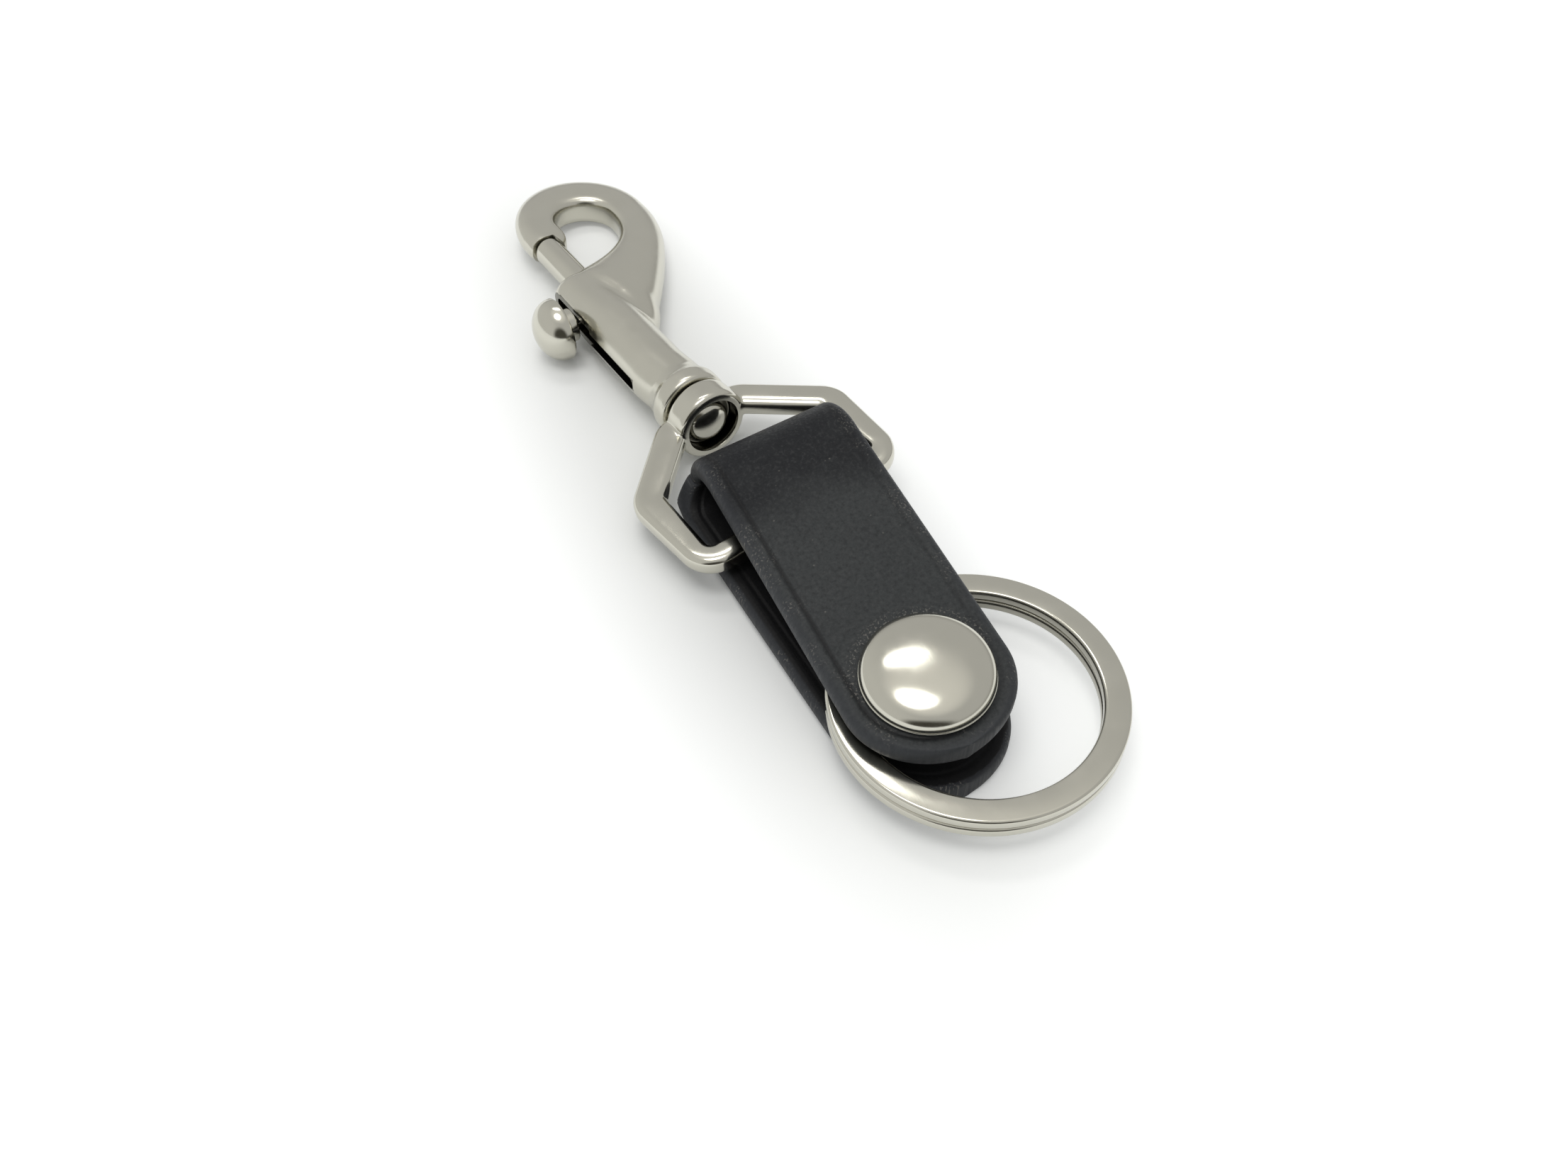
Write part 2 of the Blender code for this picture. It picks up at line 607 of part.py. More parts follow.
def build_spring(axis, steel):
    """Build the bolt's return spring, one open coil between the rivet and the bolt."""
    low = BARREL_WALL + GAP + RIVET_INNER + GAP + SPRING_WIRE / 2
    high = BOLT_SHUT - BOLT_LENGTH - GAP - SPRING_WIRE / 2
    radius = BORE_RADIUS - GAP - SPRING_WIRE / 2
    count = SPRING_CURLS * SPRING_POINTS
    curve = bpy.data.curves.new("bolt_spring", "CURVE")
    curve.dimensions = "3D"
    curve.bevel_depth = SPRING_WIRE / 2 * MM
    curve.bevel_resolution = 1
    curve.use_fill_caps = True
    line = curve.splines.new("POLY")
    line.points.add(count)
    for index, point in enumerate(line.points):
        share = index / count
        angle = 2 * math.pi * SPRING_CURLS * share
        place = (low + (high - low) * share, BOLT_OFF + radius * math.cos(angle),
                 radius * math.sin(angle))
        point.co = (*(Vector(place) * MM), 1.0)
    pitch = (high - low) / SPRING_CURLS
    print("bolt_spring: least gap between curls is %.2f mm" % (pitch - SPRING_WIRE))
    spring = bpy.data.objects.new("bolt_spring", curve)
    spring.parent = axis
    curve.materials.append(steel)
    bpy.context.scene.collection.objects.link(spring)


def build_rivet(axis, nickel):
    """Build the swivel rivet that holds the loop's collar on the flange."""
    inner = BARREL_WALL + GAP
    seat = -RUN - COLLAR_WALL - GAP
    foot = BORE_RADIUS - GAP - abs(BOLT_OFF)
    profile = [(0.0, inner + RIVET_INNER), (foot, inner + RIVET_INNER),
               (foot, inner), (RIVET_RADIUS, inner), (RIVET_RADIUS, seat),
               (RIVET_HEAD, seat)]
    head = [(radius, 2 * (seat - 0.3) - height) for radius, height in
            dome(RIVET_HEAD, seat - 0.3, RIVET_DOME)]
    turned("swivel_rivet", profile + head, axis, nickel, "X")


def main():
    """Build the whole keychain."""
    clear_scene()
    nickel = finish("nickel", (0.62, 0.61, 0.57), 1.0, 0.22)
    brass = finish("plated_brass", (0.55, 0.54, 0.50), 1.0, 0.3)
    steel = finish("spring_steel", (0.45, 0.45, 0.46), 1.0, 0.35)
    leather = finish("black_leather", (0.02, 0.021, 0.024), 0.0, 0.5)
    model = empty("keychain_axis", (SNAP_AT, 0.0, 0.0))
    top = empty("snap_top_axis", (0.0, 0.0, FLAP_TOP), (FLAP_ROLL, FLAP_SLOPE, 0.0), model)
    base = build_strap(leather, model, top)
    build_snap(nickel, brass, base, top)
    build_ring(nickel, model)
    loop_turn = Euler((LOOP_ROLL, -HOOK_PITCH, LOOP_YAW))
    loop_axis = empty("loop_axis", (*BAR_AT, BAR_HEIGHT), loop_turn, model)
    build_loop(loop_axis, nickel)
    neck = Vector((*BAR_AT, BAR_HEIGHT)) + loop_turn.to_matrix() @ Vector((FLANGE_FACE, 0.0, 0.0))
    hook_turn = Euler((HOOK_ROLL, HOOK_PITCH, math.pi + HOOK_YAW))
    hook_axis = empty("swivel_axis", neck, hook_turn, model)
    knob_side = empty("knob_side_axis", (0.0, 0.0, 0.0), (-KNOB_TURN, 0.0, 0.0), hook_axis)
    build_hook_body(hook_axis, knob_side, nickel)
    build_rivet(hook_axis, nickel)
    build_bolt(hook_axis, knob_side, nickel)
    build_spring(hook_axis, steel)


main()
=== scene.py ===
"""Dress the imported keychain: folded leather strap, snap, split ring, swivel loop and bolt hook.

Every shape is written in millimetres in the axes of its own sub-assembly and then placed in the
row frame, in metres, with its place in its mesh.
"""
import logging
import math
from dataclasses import dataclass, field
from enum import Enum
from typing import Callable, Iterable, Sequence

import bmesh
import bpy
import numpy as np
from mathutils import Euler, Matrix, Vector


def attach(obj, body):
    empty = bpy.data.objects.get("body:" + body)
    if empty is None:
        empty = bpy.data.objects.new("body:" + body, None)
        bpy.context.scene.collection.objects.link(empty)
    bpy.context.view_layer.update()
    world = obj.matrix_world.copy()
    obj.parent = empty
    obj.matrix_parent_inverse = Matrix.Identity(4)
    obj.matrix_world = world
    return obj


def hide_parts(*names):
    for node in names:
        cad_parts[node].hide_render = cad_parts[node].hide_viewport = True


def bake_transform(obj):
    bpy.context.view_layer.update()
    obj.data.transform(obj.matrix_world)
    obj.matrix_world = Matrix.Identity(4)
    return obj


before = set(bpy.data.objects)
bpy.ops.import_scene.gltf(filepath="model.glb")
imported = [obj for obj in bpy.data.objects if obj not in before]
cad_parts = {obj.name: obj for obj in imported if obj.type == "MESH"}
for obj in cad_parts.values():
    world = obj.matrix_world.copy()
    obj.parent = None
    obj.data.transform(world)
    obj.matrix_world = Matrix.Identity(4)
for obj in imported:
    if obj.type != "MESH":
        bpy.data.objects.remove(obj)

logging.basicConfig(level=logging.INFO, format="%(message)s")
LOG = logging.getLogger("keychain")

MM = 0.001
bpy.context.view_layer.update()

Point = Sequence[float]
Ring = list[Vector]
Triple = tuple[float, float, float]
Colour = Triple


class Body(Enum):
    """The rigid bodies that pieces ride on."""

    STRAP = "strap"
    FLAP = "flap"
    RING = "ring"
    LOOP = "loop"
    HOOK = "hook"
    BOLT = "bolt"


class Slot(Enum):
    """Names of material slots, which are passed along with the pieces but not used."""

    LEATHER = "leather"
    NICKEL = "nickel"
    SNAP_METAL = "snap_metal"
    SPRING_STEEL = "spring_steel"


# --------------------------------------------------------------------------- mesh helpers


def linked(name: str, data: bpy.types.ID) -> bpy.types.Object:
    """Put data in the scene as a new object."""
    piece = bpy.data.objects.new(name, data)
    bpy.context.scene.collection.objects.link(piece)
    return piece


def cleaned(mesh: bpy.types.Mesh, merge: float = 1e-4) -> bpy.types.Mesh:
    """Merge a mesh's doubles and turn its faces outwards."""
    work = bmesh.new()
    work.from_mesh(mesh)
    if merge:
        bmesh.ops.remove_doubles(work, verts=work.verts, dist=merge)
    bmesh.ops.recalc_face_normals(work, faces=work.faces)
    work.to_mesh(mesh)
    work.free()
    return mesh


def shaded(mesh: bpy.types.Mesh, smooth: float) -> None:
    """Shade a mesh smooth, but keep the edges past an angle in degrees sharp."""
    mesh.shade_smooth()
    mesh.set_sharp_from_angle(angle=math.radians(smooth))


def new_object(name: str, points: Iterable[Point], faces: Iterable[Sequence[int]],
               smooth: float = 35.0) -> bpy.types.Object:
    """Make an object from points in millimetres, with its faces turned outwards.

    Args:
        name: The object's name.
        points: Vertex places in millimetres.
        faces: Vertex numbers of each face.
        smooth: The angle in degrees past which an edge stays sharp.

    Returns:
        The new object, linked to the scene.
    """
    mesh = bpy.data.meshes.new(name)
    mesh.from_pydata([tuple(point) for point in points], [], [tuple(face) for face in faces])
    shaded(cleaned(mesh), smooth)
    return linked(name, mesh)


def skin(rings: list[Ring], closed_path: bool = False) -> tuple[list[Vector], list[tuple]]:
    """Return the points and faces of a skin over rings that have equal counts."""
    count = len(rings[0])
    points = [point for ring in rings for point in ring]
    faces: list[tuple] = []
    last = len(rings) if closed_path else len(rings) - 1
    for row in range(last):
        base, over = row * count, (row + 1) % len(rings) * count
        for side in range(count):
            turn = (side + 1) % count
            faces.append((base + side, base + turn, over + turn, over + side))
    if not closed_path:
        faces.append(tuple(range(count)))
        faces.append(tuple(range((len(rings) - 1) * count, len(rings) * count)))
    return points, faces


def lathe(name: str, profile: list[Point], sides: int = 96, axis: str = "X",
          smooth: float = 35.0) -> bpy.types.Object:
    """Turn a profile of (radius, height) points about an axis.

    Args:
        name: The object's name.
        profile: Points from axis to axis, or a closed loop off the axis.
        sides: How many steps a turn has.
        axis: The axis that heights run along.
        smooth: The angle in degrees past which an edge stays sharp.

    Returns:
        The turned object, in millimetres.
    """
    points: list[Point] = []
    faces: list[tuple] = []
    closed = profile[0][0] > 1e-9
    for radius, height in profile:
        for side in range(sides):
            angle = 2 * math.pi * side / sides
            points.append((radius * math.cos(angle), radius * math.sin(angle), height))
    rows = len(profile) if closed else len(profile) - 1
    for row in range(rows):
        base, over = row * sides, (row + 1) % len(profile) * sides
        for side in range(sides):
            turn = (side + 1) % sides
            faces.append((base + side, base + turn, over + turn, over + side))
    turns = {"Z": Matrix(), "X": Matrix.Rotation(math.pi / 2, 4, "Y"),
             "Y": Matrix.Rotation(-math.pi / 2, 4, "X")}
    placed = [turns[axis] @ Vector(point) for point in points]
    return new_object(name, placed, faces, smooth)


def rounded(profile: list[Point], radius: float, steps: int = 4) -> list[Point]:
    """Return an open profile with its inner corners rounded.

    Args:
        profile: Points of (radius, height).
        radius: The largest rounding in millimetres.
        steps: How many points each corner gets.

    Returns:
        The finer profile.
    """
    result = [tuple(profile[0])]
    for before, here, after in zip(profile, profile[1:], profile[2:]):
        a, b, c = Vector(before), Vector(here), Vector(after)
        reach = min(radius, (a - b).length * 0.45, (c - b).length * 0.45)
        start, end = b + (a - b).normalized() * reach, b + (c - b).normalized() * reach
        for step in range(steps + 1):
            share = step / steps
            place = start.lerp(b, share).lerp(b.lerp(end, share), share)
            result.append((place.x, place.y))
    result.append(tuple(profile[-1]))
    return result


def dome(radius: float, low: float, rise: float, steps: int = 24) -> list[Point]:
    """Return a dome's profile from its rim to the axis."""
    angles = [math.pi / 2 * step / steps for step in range(steps + 1)]
    points = [(radius * math.cos(angle), low + rise * math.sin(angle)) for angle in angles]
    points[-1] = (0.0, low + rise)
    return points


def baked(piece: bpy.types.Object) -> bpy.types.Object:
    """Turn an object's modifiers into its mesh and remove them."""
    bpy.context.view_layer.update()
    graph = bpy.context.evaluated_depsgraph_get()
    mesh = bpy.data.meshes.new_from_object(piece.evaluated_get(graph), depsgraph=graph)
    piece.modifiers.clear()
    old = piece.data
    piece.data = mesh
    mesh.name = piece.name
    if isinstance(old, bpy.types.Mesh):
        bpy.data.meshes.remove(old)
    return piece


def joined(name: str, parts: Sequence[bpy.types.Object]) -> bpy.types.Object:
    """Join objects into one mesh object and remove them."""
    work = bmesh.new()
    for part in parts:
        work.from_mesh(part.data)
    mesh = bpy.data.meshes.new(name)
    work.to_mesh(mesh)
    work.free()
    for part in parts:
        bpy.data.objects.remove(part, do_unlink=True)
    return linked(name, mesh)


def cast(name: str, parts: Sequence[bpy.types.Object], voxel: float, rounds: int,
         soft: Callable[[Vector], float] | None = None, soft_rounds: int = 0) -> bpy.types.Object:
    """Fuse overlapping shapes into one casting with soft fillets.

    Args:
        name: The casting's name.
        parts: Closed shapes that overlap.
        voxel: The remesh size in millimetres.
        rounds: How often the skin is smoothed.
        soft: How much of the further smoothing each place gets, from 0 to 1.
        soft_rounds: How often those places are smoothed further.

    Returns:
        The fused object.
    """
    piece = joined(name, parts)
    remesh = piece.modifiers.new("fuse", "REMESH")
    remesh.mode = "VOXEL"
    remesh.voxel_size = voxel
    relax = piece.modifiers.new("relax", "SMOOTH")
    relax.factor = 0.5
    relax.iterations = rounds
    baked(piece)
    if soft:
        group = piece.vertex_groups.new(name="soft")
        for vertex in piece.data.vertices:
            share = soft(vertex.co)
            if share > 0.001:
                group.add([vertex.index], share, "REPLACE")
        relax = piece.modifiers.new("soften", "SMOOTH")
        relax.factor = 0.5
        relax.iterations = soft_rounds
        relax.vertex_group = "soft"
        baked(piece)
        piece.vertex_groups.clear()
    piece.data.shade_smooth()
    return piece


def ease(value: float, low: float, high: float) -> float:
    """Return how far a value is between two limits, from 0 to 1, with soft ends."""
    share = min(1.0, max(0.0, (value - low) / (high - low)))
    return share * share * (3 - 2 * share)


def carve(piece: bpy.types.Object, cutters: Sequence[bpy.types.Object],
          smooth: float = 35.0) -> bpy.types.Object:
    """Cut shapes out of a piece and remove the cutters."""
    for cutter in cutters:
        step = piece.modifiers.new(cutter.name, "BOOLEAN")
        step.operation = "DIFFERENCE"
        step.solver = "EXACT"
        step.object = cutter
    baked(piece)
    for cutter in cutters:
        bpy.data.objects.remove(cutter, do_unlink=True)
    shaded(piece.data, smooth)
    return piece


def drill(name: str, radius: float, low: float, high: float,
          axis: str = "X") -> bpy.types.Object:
    """Make a round cutter between two heights."""
    return lathe(name, [(0.0, low), (radius, low), (radius, high), (0.0, high)], 96, axis)


def flat_oval(near: Point, far: Point, half: float, power: float, count: int,
              near_power: float = 0.0) -> Ring:
    """Return a ring between two edge points in the XY plane, rounded in height.

    Args:
        near: The first edge point.
        far: The second edge point.
        half: Half the ring's height.
        power: How square the ring is: 2 is an ellipse.
        count: How many points it has.
        near_power: How square its half towards the first point is, if that differs.

    Returns:
        The ring.
    """
    ring = []
    for step in range(count):
        angle = 2 * math.pi * step / count
        cos, sin = math.cos(angle), math.sin(angle)
        bend = 2 / (near_power if near_power and cos < 0 else power)
        across = math.copysign(abs(cos) ** bend, cos)
        height = math.copysign(abs(sin) ** bend, sin)
        ring.append(Vector((near[0] + (far[0] - near[0]) * (1 + across) / 2,
                            near[1] + (far[1] - near[1]) * (1 + across) / 2, half * height)))
    return ring


def cubic(points: Sequence[Point], share: float) -> Vector:
    """Return the place on a cubic curve through four control points."""
    rest = 1 - share
    weights = (rest ** 3, 3 * rest * rest * share, 3 * rest * share * share, share ** 3)
    return Vector((sum(w * p[0] for w, p in zip(weights, points)),
                   sum(w * p[1] for w, p in zip(weights, points))))


def set_to(piece: bpy.types.Object, axes: Matrix) -> bpy.types.Object:
    """Move a piece's mesh within the millimetre axes."""
    piece.data.transform(axes)
    return piece


def set_down(piece: bpy.types.Object, axes: Matrix) -> bpy.types.Object:
    """Move a piece's mesh from its own axes in millimetres to the row frame in metres."""
    piece.data.transform(Matrix.Scale(MM, 4) @ axes)
    piece.data.update()
    return piece


def mark_hollow(piece: bpy.types.Object, inside: Callable[[Vector], float]) -> None:
    """Mark the faces inside a piece's hollows, which get painted shade.

    Args:
        piece: The piece, still in its own millimetre axes.
        inside: How far a face's centre lies in a hollow, from 0 to 1.
    """
    mesh = piece.data
    layer = mesh.attributes.new("hollow", "FLOAT", "FACE")
    layer.data.foreach_set("value", [float(inside(face.center)) for face in mesh.polygons])


def hand_over(piece: bpy.types.Object, body: Body, slot: Slot, material: bpy.types.Material,
              *nodes: str) -> bpy.types.Object:
    """Give a finished piece its material and its body, and hide the CAD nodes that it stands for.

    Args:
        piece: The finished piece.
        body: The body that it rides on.
        slot: Not used.
        material: Its finish.
        nodes: The CAD nodes that it replaces.

    Returns:
        The piece.
    """
    piece.data.materials.clear()
    piece.data.materials.append(material)
    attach(piece, body.value)
    if nodes:
        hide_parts(*nodes)
    LOG.info("%s: %d faces on %s", piece.name, len(piece.data.polygons), body.value)
    return piece


# --------------------------------------------------------------------------- node helpers


@dataclass
class Nodes:
    """A shader or geometry node tree that is written from the top down."""

    tree: bpy.types.NodeTree

    def wire(self, node: bpy.types.Node, inputs: dict) -> bpy.types.Node:
        """Link sockets to a node's inputs, or set the inputs' own values.

        Args:
            node: The node.
            inputs: A socket or a plain value for each input, by its name or number.

        Returns:
            The node.
        """
        for key, value in inputs.items():
            if isinstance(value, bpy.types.NodeSocket):
                self.tree.links.new(value, node.inputs[key])
            else:
                node.inputs[key].default_value = value
        return node

    def add(self, kind: str, inputs: dict | None = None, **settings: object) -> bpy.types.Node:
        """Add a node with its inputs and its own settings."""
        node = self.tree.nodes.new(kind)
        for key, value in settings.items():
            setattr(node, key, value)
        return self.wire(node, inputs or {})

    def math(self, kind: str, first: object, second: object = 0.0,
             clamp: bool = False) -> bpy.types.NodeSocket:
        """Add a Math node whose inputs are sockets or numbers, and return its output."""
        return self.add("ShaderNodeMath", {0: first, 1: second}, operation=kind,
                        use_clamp=clamp).outputs[0]

    def times(self, first: object, second: object) -> bpy.types.NodeSocket:
        """Multiply two values."""
        return self.math("MULTIPLY", first, second)

    def ramp(self, value: bpy.types.NodeSocket, low: object, high: float,
             start: float = 0.0, end: float = 1.0) -> bpy.types.NodeSocket:
        """Map a value smoothly from one range to another."""
        return self.add("ShaderNodeMapRange", {
            "Value": value, "From Min": low, "From Max": high, "To Min": start, "To Max": end},
            interpolation_type="SMOOTHSTEP").outputs["Result"]

    def mix(self, share: bpy.types.NodeSocket, first: object,
            second: object) -> bpy.types.NodeSocket:
        """Mix two colours, each a socket or a colour, and return the result."""
        pair = [value if isinstance(value, bpy.types.NodeSocket) else (*value, 1.0)
                for value in (first, second)]
        return self.add("ShaderNodeMix", {0: share, 6: pair[0], 7: pair[1]},
                        data_type="RGBA").outputs[2]

    def noise(self, vector: bpy.types.NodeSocket, scale: object, detail: float = 3.0,
              rough: float = 0.5) -> bpy.types.NodeSocket:
        """Add a noise texture and return its value."""
        return self.add("ShaderNodeTexNoise", {"Vector": vector, "Scale": scale,
                                               "Detail": detail,
                                               "Roughness": rough}).outputs["Fac"]

    def cells(self, vector: bpy.types.NodeSocket, scale: object,
              feature: str) -> bpy.types.NodeOutputs:
        """Add a Voronoi texture and return its outputs."""
        return self.add("ShaderNodeTexVoronoi", {"Vector": vector, "Scale": scale},
                        feature=feature).outputs

    def attribute(self, name: str, output: str = "Fac") -> bpy.types.NodeSocket:
        """Read a mark that is kept on the mesh."""
        return self.add("ShaderNodeAttribute", attribute_name=name).outputs[output]

    def bump(self, height: bpy.types.NodeSocket, strength: float) -> bpy.types.NodeSocket:
        """Return the normal of a relief a tenth of a millimetre deep."""
        return self.add("ShaderNodeBump", {"Strength": strength, "Distance": 0.0001,
                                           "Height": height}).outputs["Normal"]


def new_tree(name: str, kind: str, inputs: dict[str, object], outputs: Sequence[str]
             ) -> tuple[Nodes, bpy.types.NodeOutputs, bpy.types.Node]:
    """Make an empty node tree with named inputs and outputs.

    Args:
        name: The tree's name.
        kind: ShaderNodeTree or GeometryNodeTree.
        inputs: Each input's name, with its default number or its material.
        outputs: The names of the outputs.

    Returns:
        The tree, what its inputs give and its output node.
    """
    tree = bpy.data.node_groups.new(name, kind)
    for key, value in inputs.items():
        is_number = isinstance(value, float)
        socket = tree.interface.new_socket(
            key, in_out="INPUT",
            socket_type="NodeSocketFloat" if is_number else "NodeSocketMaterial")
        if is_number:
            socket.default_value = value
    for key in outputs:
        tree.interface.new_socket(key, in_out="OUTPUT", socket_type=(
            "NodeSocketFloat" if kind == "ShaderNodeTree" else "NodeSocketGeometry"))
    nodes = Nodes(tree)
    return nodes, nodes.add("NodeGroupInput").outputs, nodes.add("NodeGroupOutput")


def new_material(name: str) -> tuple[bpy.types.Material, Nodes, bpy.types.Node]:
    """Return a new material, its tree and its surface shader."""
    material = bpy.data.materials.new(name)
    material.use_nodes = True
    return material, Nodes(material.node_tree), material.node_tree.nodes["Principled BSDF"]


# --------------------------------------------------------------------------- finishes


def handling_group() -> bpy.types.NodeTree:
    """Build the group that gives plated metal its faint smudges and fine rub marks."""
    nodes, given, result = new_tree("handling", "ShaderNodeTree", {
        "Smudge Scale": 300.0, "Rub Scale": 2500.0}, ("Smudge", "Rub"))
    place = nodes.add("ShaderNodeTexCoord").outputs["Object"]
    stretch = nodes.add("ShaderNodeMapping", {"Vector": place, "Scale": (0.15, 1.0, 1.0)})
    nodes.wire(result, {"Smudge": nodes.noise(place, given["Smudge Scale"], 4.0),
                        "Rub": nodes.noise(stretch.outputs[0], given["Rub Scale"], 2.0)})
    return nodes.tree


def grain_group() -> bpy.types.NodeTree:
    """Build the group that gives leather its pores, specks, clouds, flecks and mottling."""
    nodes, given, result = new_tree("leather grain", "ShaderNodeTree", {
        "Pore Scale": 3200.0, "Fine Scale": 5200.0, "Speck Scale": 620.0, "Cloud Scale": 160.0,
        "Fleck Scale": 3600.0, "Mottle Scale": 1700.0},
        ("Grain", "Speck", "Cloud", "Fleck", "Mottle"))
    place = nodes.attribute("along_leather", "Vector")
    pores = nodes.cells(place, given["Pore Scale"], "SMOOTH_F1")
    fine = nodes.noise(place, given["Fine Scale"], 2.0, 0.6)
    specks = nodes.cells(place, given["Speck Scale"], "F1")
    dot = nodes.ramp(specks["Distance"], 0.03, 0.11, 1.0, 0.0)
    chosen = nodes.add("ShaderNodeSeparateColor", {0: specks["Color"]})
    rare = nodes.math("GREATER_THAN", chosen.outputs[0], 0.7)
    nodes.wire(result, {
        "Grain": nodes.math("ADD", nodes.times(pores["Distance"], 0.7), nodes.times(fine, 0.5)),
        "Speck": nodes.times(dot, rare),
        "Cloud": nodes.noise(place, given["Cloud Scale"], 4.0, 0.6),
        "Fleck": nodes.ramp(nodes.noise(place, given["Fleck Scale"], 1.0, 0.5), 0.56, 0.66),
        "Mottle": nodes.noise(place, given["Mottle Scale"], 3.0, 0.7)})
    return nodes.tree


@dataclass(frozen=True)
class PlatedFinish:
    """Bright plated metal, with painted shade inside hollows."""

    name: str
    colour: Colour
    shade: Colour
    roughness: float
    spread: float = 0.06
    bump: float = 0.02
    # The colour of the painted shade inside hollows, and how much of it is mixed in.
    hollow_shade: Colour = (0.060, 0.057, 0.043)
    hollow_shade_share: float = 0.8

    def build(self, handling: bpy.types.NodeTree) -> bpy.types.Material:
        """Return the finish's material, made with the group of smudges and rub marks."""
        material, nodes, surface = new_material(self.name)
        marks = nodes.add("ShaderNodeGroup", node_tree=handling).outputs
        plate = nodes.mix(marks["Smudge"], self.shade, self.colour)
        # Painted shade: faces marked as hollow are mixed towards the dark olive colour.
        hollow = nodes.times(nodes.attribute("hollow"), self.hollow_shade_share)
        nodes.wire(surface, {
            "Metallic": 1.0,
            "Base Color": nodes.mix(hollow, plate, self.hollow_shade),
            "Roughness": nodes.ramp(marks["Smudge"], 0.35, 0.75, self.roughness,
                                    self.roughness + self.spread),
            "Normal": nodes.bump(marks["Rub"], self.bump)})
        return material


@dataclass(frozen=True)
class LeatherFinish:
    """Black leather with rounded edges and a creased line beside them, and painted light: lighter
    towards the cap, a burnish and painted sheen on the edge band, painted shade in the crease.
    """

    name: str = "black leather"
    face: Colour = (0.0070, 0.0080, 0.0105)
    # The lighter face colour towards the cap is painted light, for how light falls along the flap.
    pale: Colour = (0.0325, 0.0355, 0.0375)
    mottle_pale: Colour = (0.070, 0.072, 0.073)
    mottle_dark: Colour = (0.008, 0.009, 0.010)
    # The lighter edge band: partly burnish, partly painted sheen on the rounded edge.
    burnish_and_sheen: Colour = (0.050, 0.053, 0.060)
    # The crease line's dark colour is painted shade in the groove.
    crease_shade: Colour = (0.005, 0.005, 0.006)
    flesh: Colour = (0.008, 0.008, 0.009)
    worn: Colour = (0.19, 0.18, 0.165)
    crease_at: float = 1.9
    crease_width: float = 0.5
    crease_depth: float = 2.2

    def crease(self, nodes: Nodes, edge: bpy.types.NodeSocket) -> bpy.types.NodeSocket:
        """Return how deep the creased line is, fainter towards the strap's +Y side."""
        place = nodes.add("ShaderNodeSeparateXYZ", {0: nodes.attribute("along_leather", "Vector")})
        depth = nodes.ramp(place.outputs["Y"], -0.004, 0.006, 1.0, 0.3)
        off_line = nodes.math("ABSOLUTE", nodes.math("SUBTRACT", edge, self.crease_at))
        return nodes.times(depth, nodes.ramp(off_line, 0.0, self.crease_width, 1.0, 0.0))

    def wear(self, nodes: Nodes, edge: bpy.types.NodeSocket, cap: bpy.types.NodeSocket,
             marks: bpy.types.NodeOutputs) -> bpy.types.NodeSocket:
        """Return the rubbed flecks along the edges and round the cap."""
        rub = nodes.times(nodes.ramp(edge, 0.2, 3.2, 1.0, 0.0),
                          nodes.ramp(marks["Cloud"], 0.50, 0.62))
        ring = nodes.times(nodes.ramp(cap, 7.7, 8.0), nodes.ramp(cap, 8.2, 9.6, 1.0, 0.0))
        return nodes.times(nodes.math("MAXIMUM", rub, ring), marks["Fleck"])

    def build(self, grain: bpy.types.NodeTree) -> bpy.types.Material:
        """Return the finish's material.

        Args:
            grain: The group of pores, specks and mottling.

        Returns:
            The material.
        """
        material, nodes, surface = new_material(self.name)
        edge, cap = nodes.attribute("edge_distance"), nodes.attribute("cap_distance")
        marks = nodes.add("ShaderNodeGroup", node_tree=grain).outputs
        # Painted light: the face is lighter within about 24 mm of the cap and darker towards the
        # fold and on the lower leg, with a random cloudy tone on top.
        painted_light_and_tone = nodes.math("ADD", nodes.ramp(cap, 34.0, 24.0),
                          nodes.ramp(marks["Cloud"], 0.25, 0.75, -0.18, 0.18), True)
        line = self.crease(nodes, edge)
        layers = (
            (nodes.ramp(marks["Mottle"], 0.50, 0.66, 0.0, 0.22), self.mottle_pale),
            (nodes.ramp(marks["Mottle"], 0.50, 0.34, 0.0, 0.40), self.mottle_dark),
            # The edge band is partly burnish and partly a painted sheen on the rounded edge.
            (nodes.times(nodes.ramp(edge, 0.0, self.crease_at - 0.3, 1.0, 0.0), 0.55),
             self.burnish_and_sheen),
            # Painted shade: the crease groove is darkened along with its bump.
            (nodes.times(line, 0.75), self.crease_shade),
            (nodes.times(self.wear(nodes, edge, cap, marks), 0.55), self.worn),
            (nodes.times(marks["Speck"], 0.4), self.worn),
            (nodes.attribute("flesh_side"), self.flesh))
        colour = nodes.mix(painted_light_and_tone, self.face, self.pale)
        for share, layer in layers:
            colour = nodes.mix(share, colour, layer)
        relief = nodes.math("ADD", nodes.times(marks["Grain"], 0.35),
                            nodes.times(line, -self.crease_depth))
        nodes.wire(surface, {"Base Color": colour, "Specular IOR Level": 0.20,
                             "Roughness": nodes.ramp(marks["Grain"], 0.2, 0.9, 0.42, 0.62),
                             "Normal": nodes.bump(relief, 0.5)})
        return material


# --------------------------------------------------------------------------- sub-assemblies


